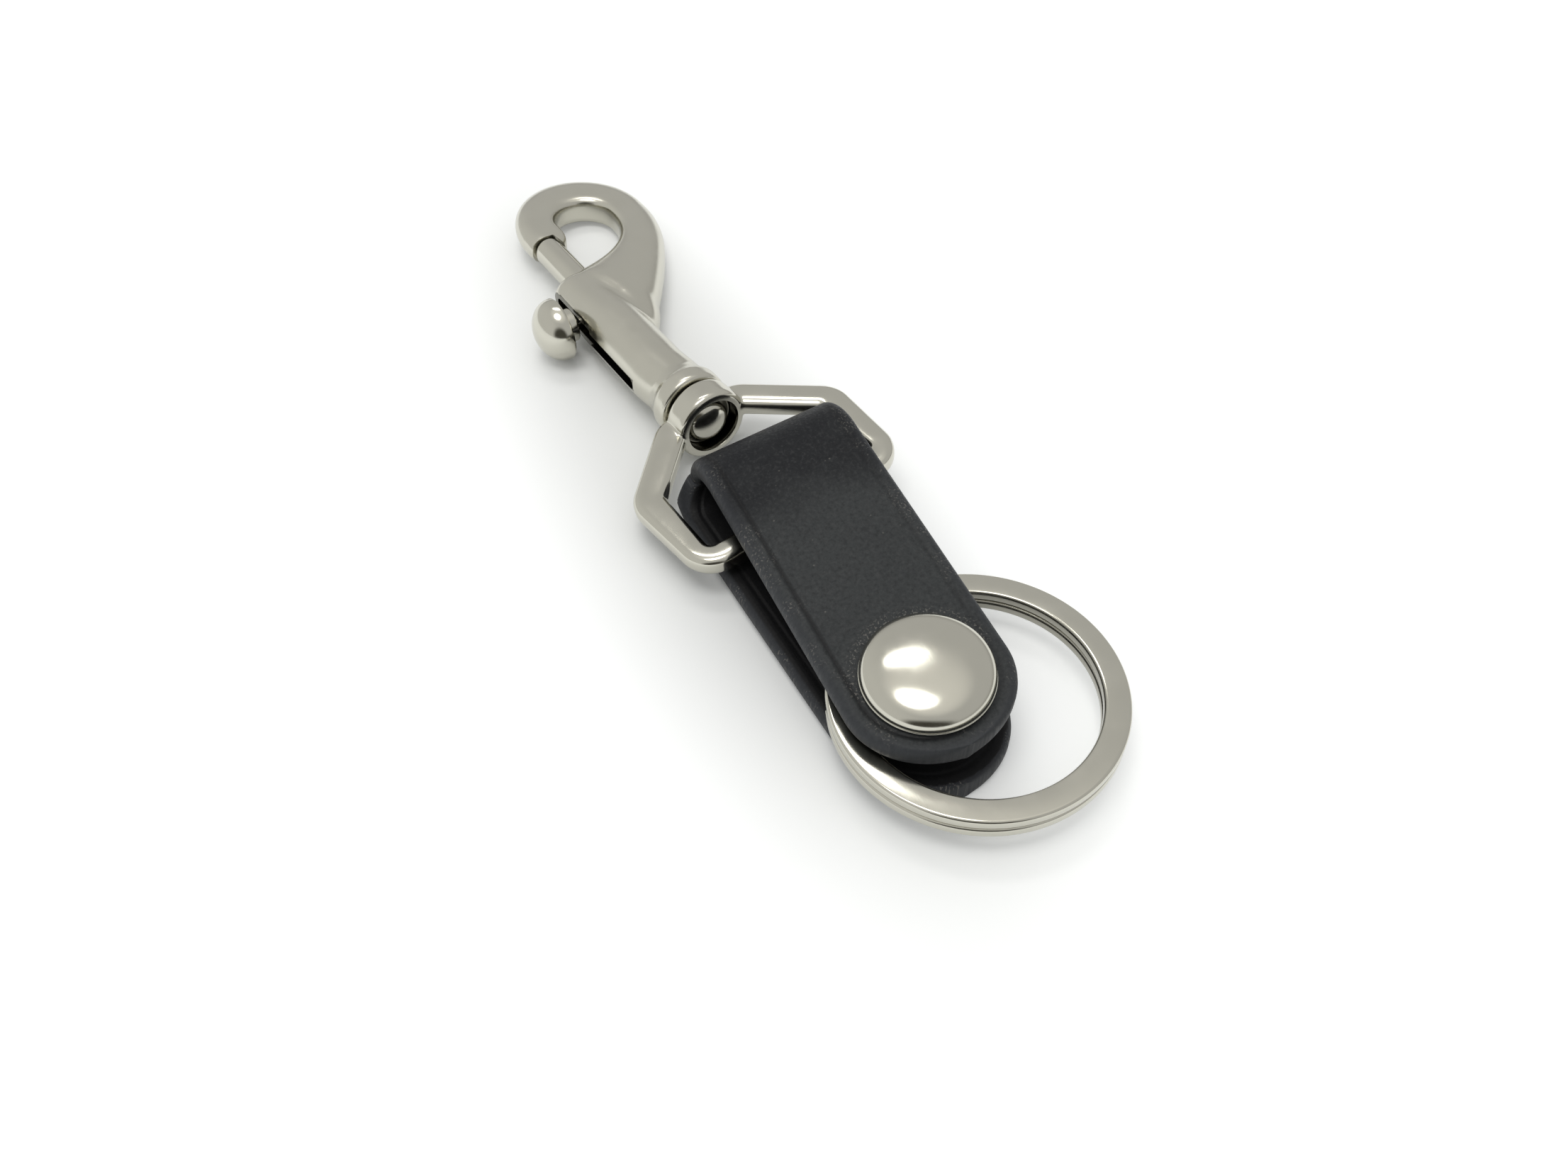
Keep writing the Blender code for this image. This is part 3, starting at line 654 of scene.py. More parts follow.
@dataclass
class Strap:
    """The folded leather strap, one piece shaped round its fold."""

    snap_at: float = 20.0
    leather: float = 2.8
    width: float = 20.0
    edge: float = 1.15
    fold_back: float = 44.4
    fold_height: float = 12.2
    slope: float = math.radians(3.5)
    roll: float = math.radians(3.0)
    fold_roll: float = math.radians(6.0)
    skew: float = math.radians(4.0)
    lower_yaw: float = math.radians(3.3)
    flap_tip: float = 9.2
    crown: float = 6.8
    hole: float = 1.9
    across_points: int = 21
    tip_steps: int = 26
    leg_steps: int = 24
    fold_steps: int = 56
    stud_middle: float = 1.9
    bend_start: float = 0.35
    bend_end: float = 0.85
    bend_slant: float = 0.03

    @property
    def middle(self) -> float:
        """The height of the fold's middle."""
        return self.fold_height / 2

    @property
    def under(self) -> float:
        """The height of the flap's underside at the snap."""
        run = self.fold_back - self.middle
        return self.fold_height - self.leather - run * math.tan(self.slope)

    def fold_share(self, x: float) -> float:
        """Return how far a distance from the snap is on the way to the fold."""
        return min(1.0, max(0.0, -x / (self.fold_back - self.middle)))

    def stations(self) -> list[tuple[Vector, Vector, float, float]]:
        """Return the path's places, directions, rolls and half widths, tip to tip."""
        mid, half = self.leather / 2, self.width / 2
        fold_x = self.middle - self.fold_back
        tips = [math.radians(89.0 - 89.0 * step / self.tip_steps)
                for step in range(self.tip_steps + 1)]
        legs = [step / self.leg_steps for step in range(1, self.leg_steps)]
        back = Vector((-1.0, 0.0, 0.0))
        found = [(Vector((half * math.sin(angle), 0.0, mid)), back, 0.0, half * math.cos(angle))
                 for angle in tips]
        found += [(Vector((fold_x * share, 0.0, mid)), back, 0.0, half) for share in legs]
        radius = self.middle - mid
        last = math.pi - math.atan(self.crown / radius * math.tan(self.slope))
        for step in range(self.fold_steps + 1):
            bend = last * step / self.fold_steps
            reach = radius if bend < math.pi / 2 else self.crown
            place = Vector((fold_x - radius + reach * (1 - math.sin(bend)), 0.0,
                            self.middle - radius * math.cos(bend)))
            along = Vector((-reach * math.cos(bend), 0.0, radius * math.sin(bend)))
            found.append((place, along.normalized(), self.fold_roll * bend / math.pi, half))
        first = found[-1][0]
        along = Vector((math.cos(self.slope), 0.0, -math.sin(self.slope)))
        rest = [(first.x * (1 - share), half) for share in legs]
        rest += [(self.flap_tip * math.sin(angle), half * math.cos(angle))
                 for angle in reversed(tips)]
        for x, half_width in rest:
            place = Vector((x, 0.0, first.z - (x - first.x) * math.tan(self.slope)))
            roll = self.roll + (self.fold_roll - self.roll) * self.fold_share(x)
            found.append((place, along, roll, half_width))
        return found

    def section(self, place: Vector, along: Vector, roll: float, half_width: float,
                upper: bool) -> tuple[Ring, list[float], list[float]]:
        """Return one cross-section with each point's distance from the edge and its side.

        Args:
            place: The section's centre.
            along: The path's direction.
            roll: How far the section leans.
            half_width: Half the strap's width here.
            upper: Whether the section is above the fold's middle.

        Returns:
            The ring, the distances from the outline in millimetres, and the flesh-side marks.
        """
        up = Vector((-along.z, 0.0, along.x))
        half = self.leather / 2
        edge = min(self.edge, half * 0.92, half_width * 0.85)
        flats = [(half_width - edge) * (1 - 2 * step / (self.across_points - 1))
                 for step in range(self.across_points)]
        outline = [(half_width - edge + edge * math.cos(a), half - edge + edge * math.sin(a))
                   for a in (math.radians(5.0 + 16.0 * step) for step in range(6))]
        points = [(y, half) for y in flats]
        points += [(-y, z) for y, z in reversed(outline)]
        points += [(-y, -z) for y, z in outline]
        points += [(-y, -half) for y in flats]
        points += [(y, -z) for y, z in reversed(outline)]
        points += [(y, z) for y, z in outline]
        radius = self.width / 2
        ring, reach, flesh = [], [], []
        beyond = place.x > 0.0
        ahead = place.x * (radius / self.flap_tip if upper else 1.0)
        for y, z in points:
            point = place + Vector((0.0, y, 0.0)) + up * z
            point.z += y * math.tan(roll)
            point.x -= y * math.tan(self.skew) * self.fold_share(place.x)
            if not upper:
                lift = max(0.0, point.z - self.leather) / (self.middle - self.leather)
                point.y += math.tan(self.lower_yaw) * min(0.0, point.x) * max(0.0, 1.0 - lift)
            ring.append(point)
            gap = radius - math.hypot(ahead, y) if beyond else radius - abs(y)
            reach.append(max(0.0, gap))
            flesh.append(1.0 if z < 0.3 - half and gap > 0.6 else 0.0)
        return ring, reach, flesh

    def build(self, material: bpy.types.Material) -> None:
        """Build the leather with its snap holes, give it its material and hide the CAD leather."""
        rings, reach, flesh, along_leather, to_cap = [], [], [], [], []
        run, last = 0.0, None
        for place, along, roll, half_width in self.stations():
            upper = place.z > self.middle
            run += (place - last).length if last else 0.0
            last = place
            ring, distances, sides = self.section(place, along, roll, max(0.35, half_width),
                                                  upper)
            rings.append(ring)
            reach.extend(distances)
            flesh.extend(sides)
            for point in ring:
                along_leather.extend((run * MM, point.y * MM, 0.0))
                beyond_cap = 0.6 * max(0.0, point.x + 2.0)
                to_cap.append(math.hypot(point.x, point.y) + beyond_cap if upper else 99.0)
        points, faces = skin(rings)
        mesh = bpy.data.meshes.new("strap_leather")
        mesh.from_pydata([tuple(point) for point in points], [], faces)
        for name, values in (("edge_distance", reach), ("flesh_side", flesh),
                             ("cap_distance", to_cap)):
            layer = mesh.attributes.new(name, "FLOAT", "POINT")
            layer.data.foreach_set("value", np.array(values, dtype=np.float32))
        layer = mesh.attributes.new("along_leather", "FLOAT_VECTOR", "POINT")
        layer.data.foreach_set("vector", np.array(along_leather, dtype=np.float32))
        piece = linked("strap_leather", cleaned(mesh, 0.0))
        carve(piece, [set_to(drill("flap_hole", self.hole, -self.leather * 1.6, self.leather,
                                   "Z"), self.top_axes()),
                      set_to(drill("lower_hole", self.hole, -1.0, self.leather + 1.0, "Z"),
                             Matrix.Translation(self.stud_at()))], smooth=60.0)
        set_down(piece, Matrix.Translation((self.snap_at, 0.0, 0.0)))
        piece.data.materials.clear()
        piece.data.materials.append(material)
        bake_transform(piece)
        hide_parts("strap_lower", "strap_flap")
        LOG.info("strap_leather: %d faces", len(piece.data.polygons))

    def top_axes(self) -> Matrix:
        """Return the snap's axes on top of the flap."""
        turn = Euler((self.roll, self.slope, 0.0)).to_matrix().to_4x4()
        return Matrix.Translation((0.0, 0.0, self.under + self.leather)) @ turn

    def stud_at(self) -> Vector:
        """Return where the stud stands, so that it meets the tilted socket."""
        drop = self.under - self.stud_middle
        return Vector((-drop * math.tan(self.slope), drop * math.tan(self.roll), 0.0))


@dataclass
class Snap:
    """The cap and socket on the flap, and the stud and post on the lower leg."""

    strap: Strap
    gap: float = 0.3
    shank: float = 1.7
    cap_radius: float = 7.55
    cap_rim: float = 1.0
    cap_dome: float = 2.1
    socket_radius: float = 6.1
    plate: float = 0.6
    stud_radius: float = 5.6
    nub_height: float = 2.0
    post_flange: float = 4.6
    squareness: float = 2.4

    @property
    def nub(self) -> float:
        """The stud nub's outer radius."""
        return self.shank + self.gap + self.plate

    def cap_profile(self) -> list[Point]:
        """Return the cap: a thin rolled edge under a polished dome that is steeper outside."""
        low, leather, edge = self.gap, self.strap.leather, self.cap_radius
        end = -leather - self.gap - self.plate
        profile = [(0.0, end), (self.shank, end), (self.shank, low), (edge - 0.3, low),
                   (edge - 0.08, low + 0.06), (edge, low + 0.18), (edge - 0.03, low + 0.3),
                   (edge - 0.12, low + 0.36)]
        base, reach = low + 0.38, edge - 0.1
        rise = self.cap_rim + self.cap_dome - 0.38
        for step in range(49):
            angle, bend = math.pi / 2 * step / 48, 2 / self.squareness
            profile.append((reach * math.cos(angle) ** bend if step < 48 else 0.0,
                            base + rise * math.sin(angle) ** bend))
        return profile

    def build(self, nickel: bpy.types.Material, plated: bpy.types.Material) -> None:
        """Build the four pieces of the snap."""
        to_snap = Matrix.Translation((self.strap.snap_at, 0.0, 0.0))
        top = to_snap @ self.strap.top_axes()
        base = to_snap @ Matrix.Translation(self.strap.stud_at())
        cap = lathe("snap_cap_polished", self.cap_profile(), 160, "Z", 50.0)
        hand_over(set_down(cap, top), Body.FLAP, Slot.NICKEL, nickel, "snap_cap")
        leather, gap = self.strap.leather, self.gap
        tilt = math.sin(math.hypot(self.strap.slope, self.strap.roll))
        deep = self.strap.under - leather - self.plate - 2 * gap - self.socket_radius * tilt
        plate, hole, bore = -leather - gap, self.shank + gap, self.nub + gap
        under = plate - deep + gap
        socket = [(hole, plate), (self.socket_radius - 0.4, plate),
                  (self.socket_radius, plate - 0.4), (self.socket_radius, under + 0.5),
                  (self.socket_radius - 0.5, under), (bore + 0.5, under), (bore, under + 0.4),
                  (bore, plate - self.plate), (hole, plate - self.plate)]
        piece = lathe("snap_socket_pressed", socket, 96, "Z", 30.0)
        hand_over(set_down(piece, top), Body.FLAP, Slot.SNAP_METAL, plated, "snap_socket")
        foot = leather + gap
        plate = self.plate
        head = foot + plate + self.nub_height
        stud = [(hole, foot), (self.stud_radius, foot), (self.stud_radius, foot + plate),
                (self.nub, foot + plate), (self.nub, head - plate), (self.nub - 0.5, head),
                (hole - plate, head), (hole - plate, head - plate), (hole, head - plate)]
        piece = lathe("snap_stud_pressed", stud, 96, "Z", 30.0)
        hand_over(set_down(piece, base), Body.STRAP, Slot.SNAP_METAL, plated, "snap_stud")
        rise = head - plate - gap
        hollow = self.shank - 0.5
        post = [(hollow, 0.35), (hollow + 0.35, 0.0), (self.post_flange - 0.35, 0.0),
                (self.post_flange - 0.08, 0.1), (self.post_flange, 0.35),
                (self.post_flange, plate), (self.shank, plate), (self.shank, rise),
                (hollow, rise)]
        piece = lathe("snap_post_eyelet", post, 96, "Z", 40.0)
        hand_over(set_down(piece, base), Body.STRAP, Slot.NICKEL, nickel, "snap_post")


@dataclass
class Loop:
    """The five-sided swivel loop with its cupped collar."""

    place: Vector = field(default_factory=lambda: Vector((-11.5, 0.15, 5.959)))
    turn: Euler = field(default_factory=lambda: Euler(
        (math.radians(5.0), math.radians(-1.7), math.radians(10.6))))
    width: float = 32.3
    bar: float = 3.3
    inner: float = 2.3
    outer: float = 2.0
    thick: float = 2.8
    side: float = 13.0
    corner: float = 2.6
    reach: float = 23.4
    collar: float = 5.1
    collar_length: float = 4.0
    wall: float = 1.9
    rim: float = 1.3
    hole: float = 1.7
    squareness: float = 3.0
    run_in: float = 1.5

    def axes(self) -> Matrix:
        """Return the loop's axes in the row frame."""
        return Matrix.Translation(self.place) @ self.turn.to_matrix().to_4x4()

    def path(self) -> list[Vector]:
        """Return the frame's middle line with rounded corners."""
        side = self.width / 2 - self.outer
        neck = 1.8 - self.reach
        corners = [(0.0, side), (0.0, -side), (-self.side, -side), (neck, -self.collar),
                   (neck, self.collar), (-self.side, side)]
        path: list[Vector] = []
        for index, corner in enumerate(corners):
            here = Vector(corner)
            back = (Vector(corners[index - 1]) - here).normalized()
            ahead = (Vector(corners[(index + 1) % len(corners)]) - here).normalized()
            half = back.angle(ahead) / 2
            run = self.corner / math.tan(half)
            centre = here + (back + ahead).normalized() * (self.corner / math.sin(half))
            start = here + back * run - centre
            sweep = start.angle_signed(here + ahead * run - centre)
            for step in range(13):
                path.append(centre + Matrix.Rotation(-sweep * step / 12, 2) @ start)
        return path

    def build(self, nickel: bpy.types.Material) -> None:
        """Build the loop as one casting and hand it over."""
        path = self.path()
        rings = []
        for index, place in enumerate(path):
            ahead = (path[(index + 1) % len(path)] - path[index - 1]).normalized()
            across = Vector((ahead.y, -ahead.x))
            flank = min(1.0, max(0.0, (-place.x - self.run_in) / (2 * self.corner)))
            near = self.bar / 2 + (self.inner - self.bar / 2) * flank
            far = self.bar / 2 + (self.outer - self.bar / 2) * flank
            rings.append(flat_oval(place - across * near, place + across * far,
                                   self.thick / 2, self.squareness, 32))
        wire = new_object("loop_frame", *skin(rings, True))
        low, high = -self.reach, self.collar_length - self.reach
        profile = rounded([(0.0, low), (self.collar, low), (self.collar, high), (0.0, high)],
                          0.9, 6)
        loop = cast("swivel_loop_cast", [wire, lathe("collar", profile, 96)], voxel=0.18,
                    rounds=7)
        cup = rounded([(0.0, low + self.wall), (self.collar - self.rim, low + self.wall),
                       (self.collar - self.rim, high - 0.2),
                       (self.collar - self.rim + 0.6, high + 1.0), (0.0, high + 1.0)], 0.3, 4)
        carve(loop, [lathe("cup", cup, 96), drill("collar_hole", self.hole, low - 1.0, high)])
        # Painted shade: the inside of the collar's cup is marked to be darkened.
        mark_hollow(loop, lambda place: math.hypot(place.y, place.z) < self.collar - self.rim + 0.1
                    and low < place.x < high)
        hand_over(set_down(loop, self.axes()), Body.LOOP, Slot.NICKEL, nickel, "swivel_loop")


@dataclass
class Hook:
    """The cast bolt hook with its sliding bolt, thumb knob, spring and swivel rivet."""

    loop: Loop
    turn: Euler = field(default_factory=lambda: Euler(
        (math.radians(5.0), math.radians(1.7), math.pi + math.radians(8.3))))
    run: float = 0.5
    flange: float = 5.1
    flange_length: float = 3.0
    barrel: float = 4.35
    barrel_length: float = 34.2
    wall: float = 4.0
    bolt: float = 2.2
    bolt_off: float = -0.5
    bolt_shut: float = 44.6
    bolt_length: float = 24.6
    eye: tuple[float, float] = (47.8, -8.5)
    eye_radius: float = 4.55
    crown: float = 7.7
    tip: float = 6.1
    lean: float = math.radians(12.0)
    thick: float = 4.6
    root: float = 8.3
    tip_reach: float = 4.3
    flank_root: float = 18.0
    bow: float = 0.42
    nose_height: float = 3.25
    slot: float = 1.9
    slot_start: float = 8.7
    flat: float = 3.85
    flat_start: float = 21.0
    flat_end: float = 32.8
    knob_at: float = 25.8
    knob_turn: float = math.radians(4.0)
    knob: float = 4.5
    knob_rim: float = 0.6
    knob_dome: float = 3.6
    boss: float = 2.4
    boss_length: float = 2.0
    neck: float = 0.65
    rivet: float = 1.2
    gap: float = 0.3
    outer_power: float = 2.2
    eye_power: float = 4.5
    root_power: float = 1.4
    flare: float = 1.6
    nose_back: float = 0.6
    nose_round: float = 2.2
    nose_start: float = 19.0
    bow_run: float = 5.0
    rivet_head: float = 3.0
    rivet_rise: float = 1.5
    soft_from: tuple[float, float] = (11.0, 17.0)
    soft_to: tuple[float, float] = (33.0, 39.0)
    soft_side: tuple[float, float] = (-1.0, 2.5)
    soft_drop: float = 0.75
    shoulder_at: tuple[float, float] = (25.5, -4.0)
    shoulder_lean: float = math.radians(18.0)
    shoulder_size: Triple = (10.0, 4.3, 3.75)

    @property
    def recess_half(self) -> float:
        """Half the width of the milled flat."""
        return math.sqrt(self.barrel ** 2 - self.flat ** 2) + 0.6

    def axes(self) -> Matrix:
        """Return the hook's axes: X runs along the barrel towards the hook."""
        place = self.loop.axes() @ Vector((-self.loop.reach - self.run, 0.0, 0.0))
        return Matrix.Translation(place) @ self.turn.to_matrix().to_4x4()

    def knob_side(self) -> Matrix:
        """Return the turn from the hook's Y axis down to the knob's side."""
        return Matrix.Rotation(-self.knob_turn, 4, "X")

    def head(self) -> bpy.types.Object:
        """Return the hook from inside the barrel round to its tip."""
        ex, ey = self.eye
        cheek = self.tip + (self.crown - self.tip) * math.sin(self.lean) ** 2
        low = ey - self.eye_radius
        inner = ((ex, low), (ex - 5.0, low), (self.barrel_length + 2.0, ey - 1.4),
                 (self.barrel_length + 0.9, 0.0))
        outer = ((ex, low - cheek), (ex - 8.0, low - cheek),
                 (self.barrel_length - 1.2, ey - 7.0), (self.flank_root, 0.3 - self.barrel))
        half = self.thick / 2
        rings = []
        for step in range(36, 0, -1):
            share = step / 36
            deep = half + (self.root / 2 - half) * share ** self.root_power
            power = self.eye_power + (self.outer_power - self.eye_power) * share
            rings.append(self.oval(cubic(inner, share), cubic(outer, share), deep, power))
        for step in range(57):
            angle = math.pi / 2 - math.pi * step / 56
            width = self.tip + (self.crown - self.tip) * math.cos(angle - self.lean) ** 2
            way = Vector((math.cos(angle), -math.sin(angle)))
            near = Vector(self.eye) + way * self.eye_radius
            rings.append(self.oval(near, near + way * width, half, self.eye_power))
        for step in range(1, 9):
            share = step / 8
            inset = 1.3 * (1 - math.sqrt(1 - max(0.0, share - 0.4) ** 2 / 0.37))
            x = ex - self.tip_reach * share
            near = Vector((x, ey + self.eye_radius + inset))
            far = Vector((x, ey + self.eye_radius + cheek - inset))
            rings.append(self.oval(near, far, half - inset * 0.6, self.eye_power))
        return new_object("head", *skin(rings))

    def oval(self, near: Point, far: Point, half: float, eye_power: float) -> Ring:
        """Return a section of the head, squarer on the side towards the eye."""
        return flat_oval(near, far, half, self.outer_power, 48, eye_power)

    def barrel_shape(self) -> bpy.types.Object:
        """Return the turned barrel with its flange."""
        flare = self.flange_length + self.flare
        end, round_end = self.barrel_length - self.nose_back, self.nose_round
        profile = [(0.0, 0.0), (self.flange, 0.0), (self.flange, self.flange_length - 0.6),
                   (self.flange - 0.35, self.flange_length), (self.barrel, flare)]
        profile = rounded(profile, 0.8, 6)
        profile += [(self.barrel, flare + (end - round_end - flare) * step / 24)
                    for step in range(1, 25)]
        for step in range(1, 9):
            angle = math.pi / 2 * step / 8
            profile.append((self.barrel - round_end * (1 - math.cos(angle)),
                            end - round_end * (1 - math.sin(angle))))
        barrel = lathe("barrel", profile + [(0.0, end)], 128)
        for vertex in barrel.data.vertices:
            place = vertex.co
            flat = ease(place.x, self.nose_start, end)
            place.z *= 1 - (1 - self.nose_height / self.barrel) * flat
            place.y += self.bow * ease(place.x, flare, flare + self.bow_run)
        return barrel

    def shoulder(self) -> bpy.types.Object:
        """Return the swelling that carries the barrel's height over into the head."""
        half = dome(1.0, 0.0, 1.0)
        swelling = lathe("shoulder", [(radius, -height) for radius, height in half[::-1]]
                         + half[1:], 64, "Z")
        place = Matrix.Translation((*self.shoulder_at, 0.0))
        place @= Matrix.Rotation(-self.shoulder_lean, 4, "Z")
        return set_to(swelling, place @ Matrix.Diagonal((*self.shoulder_size, 1.0)))

    def softness(self, place: Vector) -> float:
        """Return how far the skin is softened where the head leaves the barrel."""
        share = min(ease(place.x, *self.soft_from), 1 - ease(place.x, *self.soft_to))
        return share * (1 - self.soft_drop * ease(place.y, *self.soft_side))

    def cutter(self, name: str, start: float, end: float, half: float, low: float,
               count: int) -> bpy.types.Object:
        """Return a cutter with round ends that runs along the barrel.

        Args:
            name: The cutter's name.
            start: Where its first round end begins.
            end: Where its second round end stops.
            half: Half its width.
            low: The height that it cuts down to.
            count: How many points each of its two outlines has.

        Returns:
            The cutter.
        """
        rings = []
        for height in (low, self.barrel + 3.0):
            ring = []
            for step in range(count):
                angle = 2 * math.pi * step / count
                middle = end - half if math.cos(angle) > 0 else start + half
                ring.append(Vector((middle + half * math.cos(angle), height,
                                    half * math.sin(angle))))
            rings.append(ring)
        return new_object(name, *skin(rings))

    def in_hollow(self, place: Vector) -> bool:
        """Return whether a place, in the knob side's axes, is in the slot, recess or bore."""
        in_slot = (self.slot_start - 0.1 < place.x < self.flat_end
                   and abs(place.z) < self.slot / 2 + 0.05 and 0.0 < place.y)
        in_recess = (self.flat_start - 0.1 < place.x < self.flat_end + 0.1
                     and abs(place.z) < self.recess_half + 0.05
                     and place.y > self.flat + self.bow - 0.05)
        bored = (math.hypot(place.y - self.bolt_off, place.z) < self.bolt + self.gap + 0.1
                 and self.wall - 0.2 < place.x < self.barrel_length - 1.5)
        return in_slot or in_recess or bored

    def build(self, satin: bpy.types.Material, nickel: bpy.types.Material,
              steel: bpy.types.Material) -> None:
        """Build the hook's five pieces."""
        axes = self.axes()
        side = self.knob_side()
        parts = [self.head(), self.barrel_shape(), self.shoulder()]
        body = cast("hook_body_cast", parts, voxel=0.2, rounds=6, soft=self.softness,
                    soft_rounds=110)
        bore = drill("bore", self.bolt + self.gap, self.wall, self.bolt_shut + self.gap)
        set_to(bore, Matrix.Translation((0.0, self.bolt_off, 0.0)))
        hole = drill("rivet_hole", self.rivet + self.gap, -1.0, self.wall + 1.0)
        slot = self.cutter("slot", self.slot_start, self.flat_end - 1.0, self.slot / 2, 0.0, 32)
        recess = self.cutter("recess", self.flat_start, self.flat_end, self.recess_half,
                             self.flat + self.bow, 48)
        carve(body, [bore, hole, set_to(slot, side), set_to(recess, side)])
        # Painted shade: the slot, the milled flat and the bore are marked to be darkened.
        out = side.inverted()
        mark_hollow(body, lambda place: self.in_hollow(out @ place))
        hand_over(set_down(body, axes), Body.HOOK, Slot.NICKEL, satin, "hook_body")
        self.build_bolt(axes, nickel)
        self.build_rivet(axes, nickel)
        hand_blended(set_down(Spring(self).build(steel), axes), steel)

    def build_bolt(self, axes: Matrix, nickel: bpy.types.Material) -> None:
        """Build the sliding bolt and its thumb knob."""
        rear = self.bolt_shut - self.bolt_length
        profile = rounded([(0.0, rear), (self.bolt, rear), (self.bolt, self.bolt_shut),
                           (0.0, self.bolt_shut)], 0.7, 6)
        lean = self.knob_side() @ Matrix.Translation((self.knob_at, 0.0, 0.0))
        bolt = lathe("bolt_polished", profile, 96)
        set_to(bolt, Matrix.Translation((0.0, self.bolt_off, 0.0)))
        top = self.bolt_off + self.bolt
        hole = drill("neck_hole", self.neck + self.gap, top - 1.8, top + 1.0, "Y")
        carve(bolt, [set_to(hole, lean)])
        hand_over(set_down(bolt, axes), Body.BOLT, Slot.NICKEL, nickel, "bolt")
        low = self.barrel + self.bow + 0.2
        high = self.barrel + self.gap + self.boss_length
        rim = high + self.knob_rim
        foot = top - 1.5
        profile = [(0.0, foot), (self.neck, foot), (self.neck, low),
                   (self.boss, low), (self.boss, high - 0.2), (self.knob - 0.25, high),
                   (self.knob, high + 0.25), (self.knob, rim)]
        profile = rounded(profile, 0.3, 4) + dome(self.knob, rim, self.knob_dome)[1:]
        knob = lathe("thumb_knob_polished", profile, 128, "Y")
        set_to(knob, lean)
        hand_over(set_down(knob, axes), Body.BOLT, Slot.NICKEL, nickel, "thumb_knob")

    def build_rivet(self, axes: Matrix, nickel: bpy.types.Material) -> None:
        """Build the peened rivet that holds the loop on the flange."""
        inner, seat = self.wall + self.gap, -self.run - self.loop.wall - self.gap
        foot = self.bolt + self.bolt_off
        profile = [(0.0, inner + 1.0), (foot, inner + 1.0), (foot, inner),
                   (self.rivet, inner), (self.rivet, seat), (self.rivet_head, seat),
                   (self.rivet_head, seat - 0.3)]
        head = [(radius, 2 * (seat - 0.3) - height) for radius, height in
                dome(self.rivet_head, seat - 0.3, self.rivet_rise)]
        rivet = lathe("swivel_rivet_peened", rounded(profile, 0.2, 3) + head[1:], 96)
        hand_over(set_down(rivet, axes), Body.HOOK, Slot.NICKEL, nickel, "swivel_rivet")


def hand_blended(spring: bpy.types.Object,
                 steel: bpy.types.Material) -> None:
    """Give the spring its material, bake its place and hide the CAD spring."""
    spring.data.materials.clear()
    spring.data.materials.append(steel)
    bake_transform(spring)
    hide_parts("bolt_spring")
    LOG.info("%s: %d faces", spring.name, len(spring.data.polygons))


# --------------------------------------------------------------------------- geometry nodes


@dataclass
class SweptShape:
    """A geometry node tree with named inputs that sweeps a section along a path."""

    name: str
    material: bpy.types.Material
    sizes: dict[str, float]

    def __post_init__(self) -> None:
        """Start the tree."""
        self.inputs = {**self.sizes, "Material": self.material}
        self.nodes, self.given, self.result = new_tree(self.name, "GeometryNodeTree",
                                                       self.inputs, ("Geometry",))

    def sweep(self, path: bpy.types.Node, section: bpy.types.Node) -> None:
        """Sweep the section and end in Realize Instances and Set Material."""
        swept = self.nodes.add("GeometryNodeCurveToMesh", {
            "Curve": path.outputs[0], "Profile Curve": section.outputs[0], "Fill Caps": True})
        real = self.nodes.add("GeometryNodeRealizeInstances", {0: swept.outputs[0]})
        dressed = self.nodes.add("GeometryNodeSetMaterial", {
            "Geometry": real.outputs[0], "Material": self.given["Material"]})
        self.nodes.wire(self.result, {0: dressed.outputs[0]})

    def make(self, smooth: float = 40.0) -> bpy.types.Object:
        """Run the tree on a new object and keep the plain mesh.

        Args:
            smooth: The angle in degrees past which an edge stays sharp.

        Returns:
            The object with its mesh in millimetres.
        """
        piece = linked(self.name, bpy.data.meshes.new(self.name))
        modifier = piece.modifiers.new("shape", "NODES")
        modifier.node_group = self.nodes.tree
        for item in self.nodes.tree.interface.items_tree:
            if item.in_out == "INPUT":
                modifier[item.identifier] = self.inputs[item.name]
        baked(piece)
        shaded(cleaned(piece.data), smooth)
        return piece


@dataclass
class Spring:
    """The bolt's return spring, a helix swept by geometry nodes."""

    hook: Hook
    wire: float = 0.5
    curls: float = 8.0

    def build(self, steel: bpy.types.Material) -> bpy.types.Object:
        """Return the spring along the hook's X axis, in millimetres."""
        hook = self.hook
        low = hook.wall + hook.gap + 1.0 + hook.gap + self.wire / 2
        high = hook.bolt_shut - hook.bolt_length - hook.gap - self.wire / 2
        shape = SweptShape("bolt_spring_wound", steel, {
            "Curls": self.curls, "Coil Radius": hook.bolt - self.wire / 2,
            "Length": high - low, "Wire Radius": self.wire / 2})
        coil = shape.nodes.add("GeometryNodeCurveSpiral", {
            "Resolution": 28, "Rotations": shape.given["Curls"],
            "Start Radius": shape.given["Coil Radius"],
            "End Radius": shape.given["Coil Radius"], "Height": shape.given["Length"]})
        shape.sweep(coil, shape.nodes.add("GeometryNodeCurvePrimitiveCircle", {
            "Resolution": 12, "Radius": shape.given["Wire Radius"]}))
        turn = Matrix.Rotation(math.pi / 2, 4, "Y")
        return set_to(shape.make(), Matrix.Translation((low, hook.bolt_off, 0.0)) @ turn)


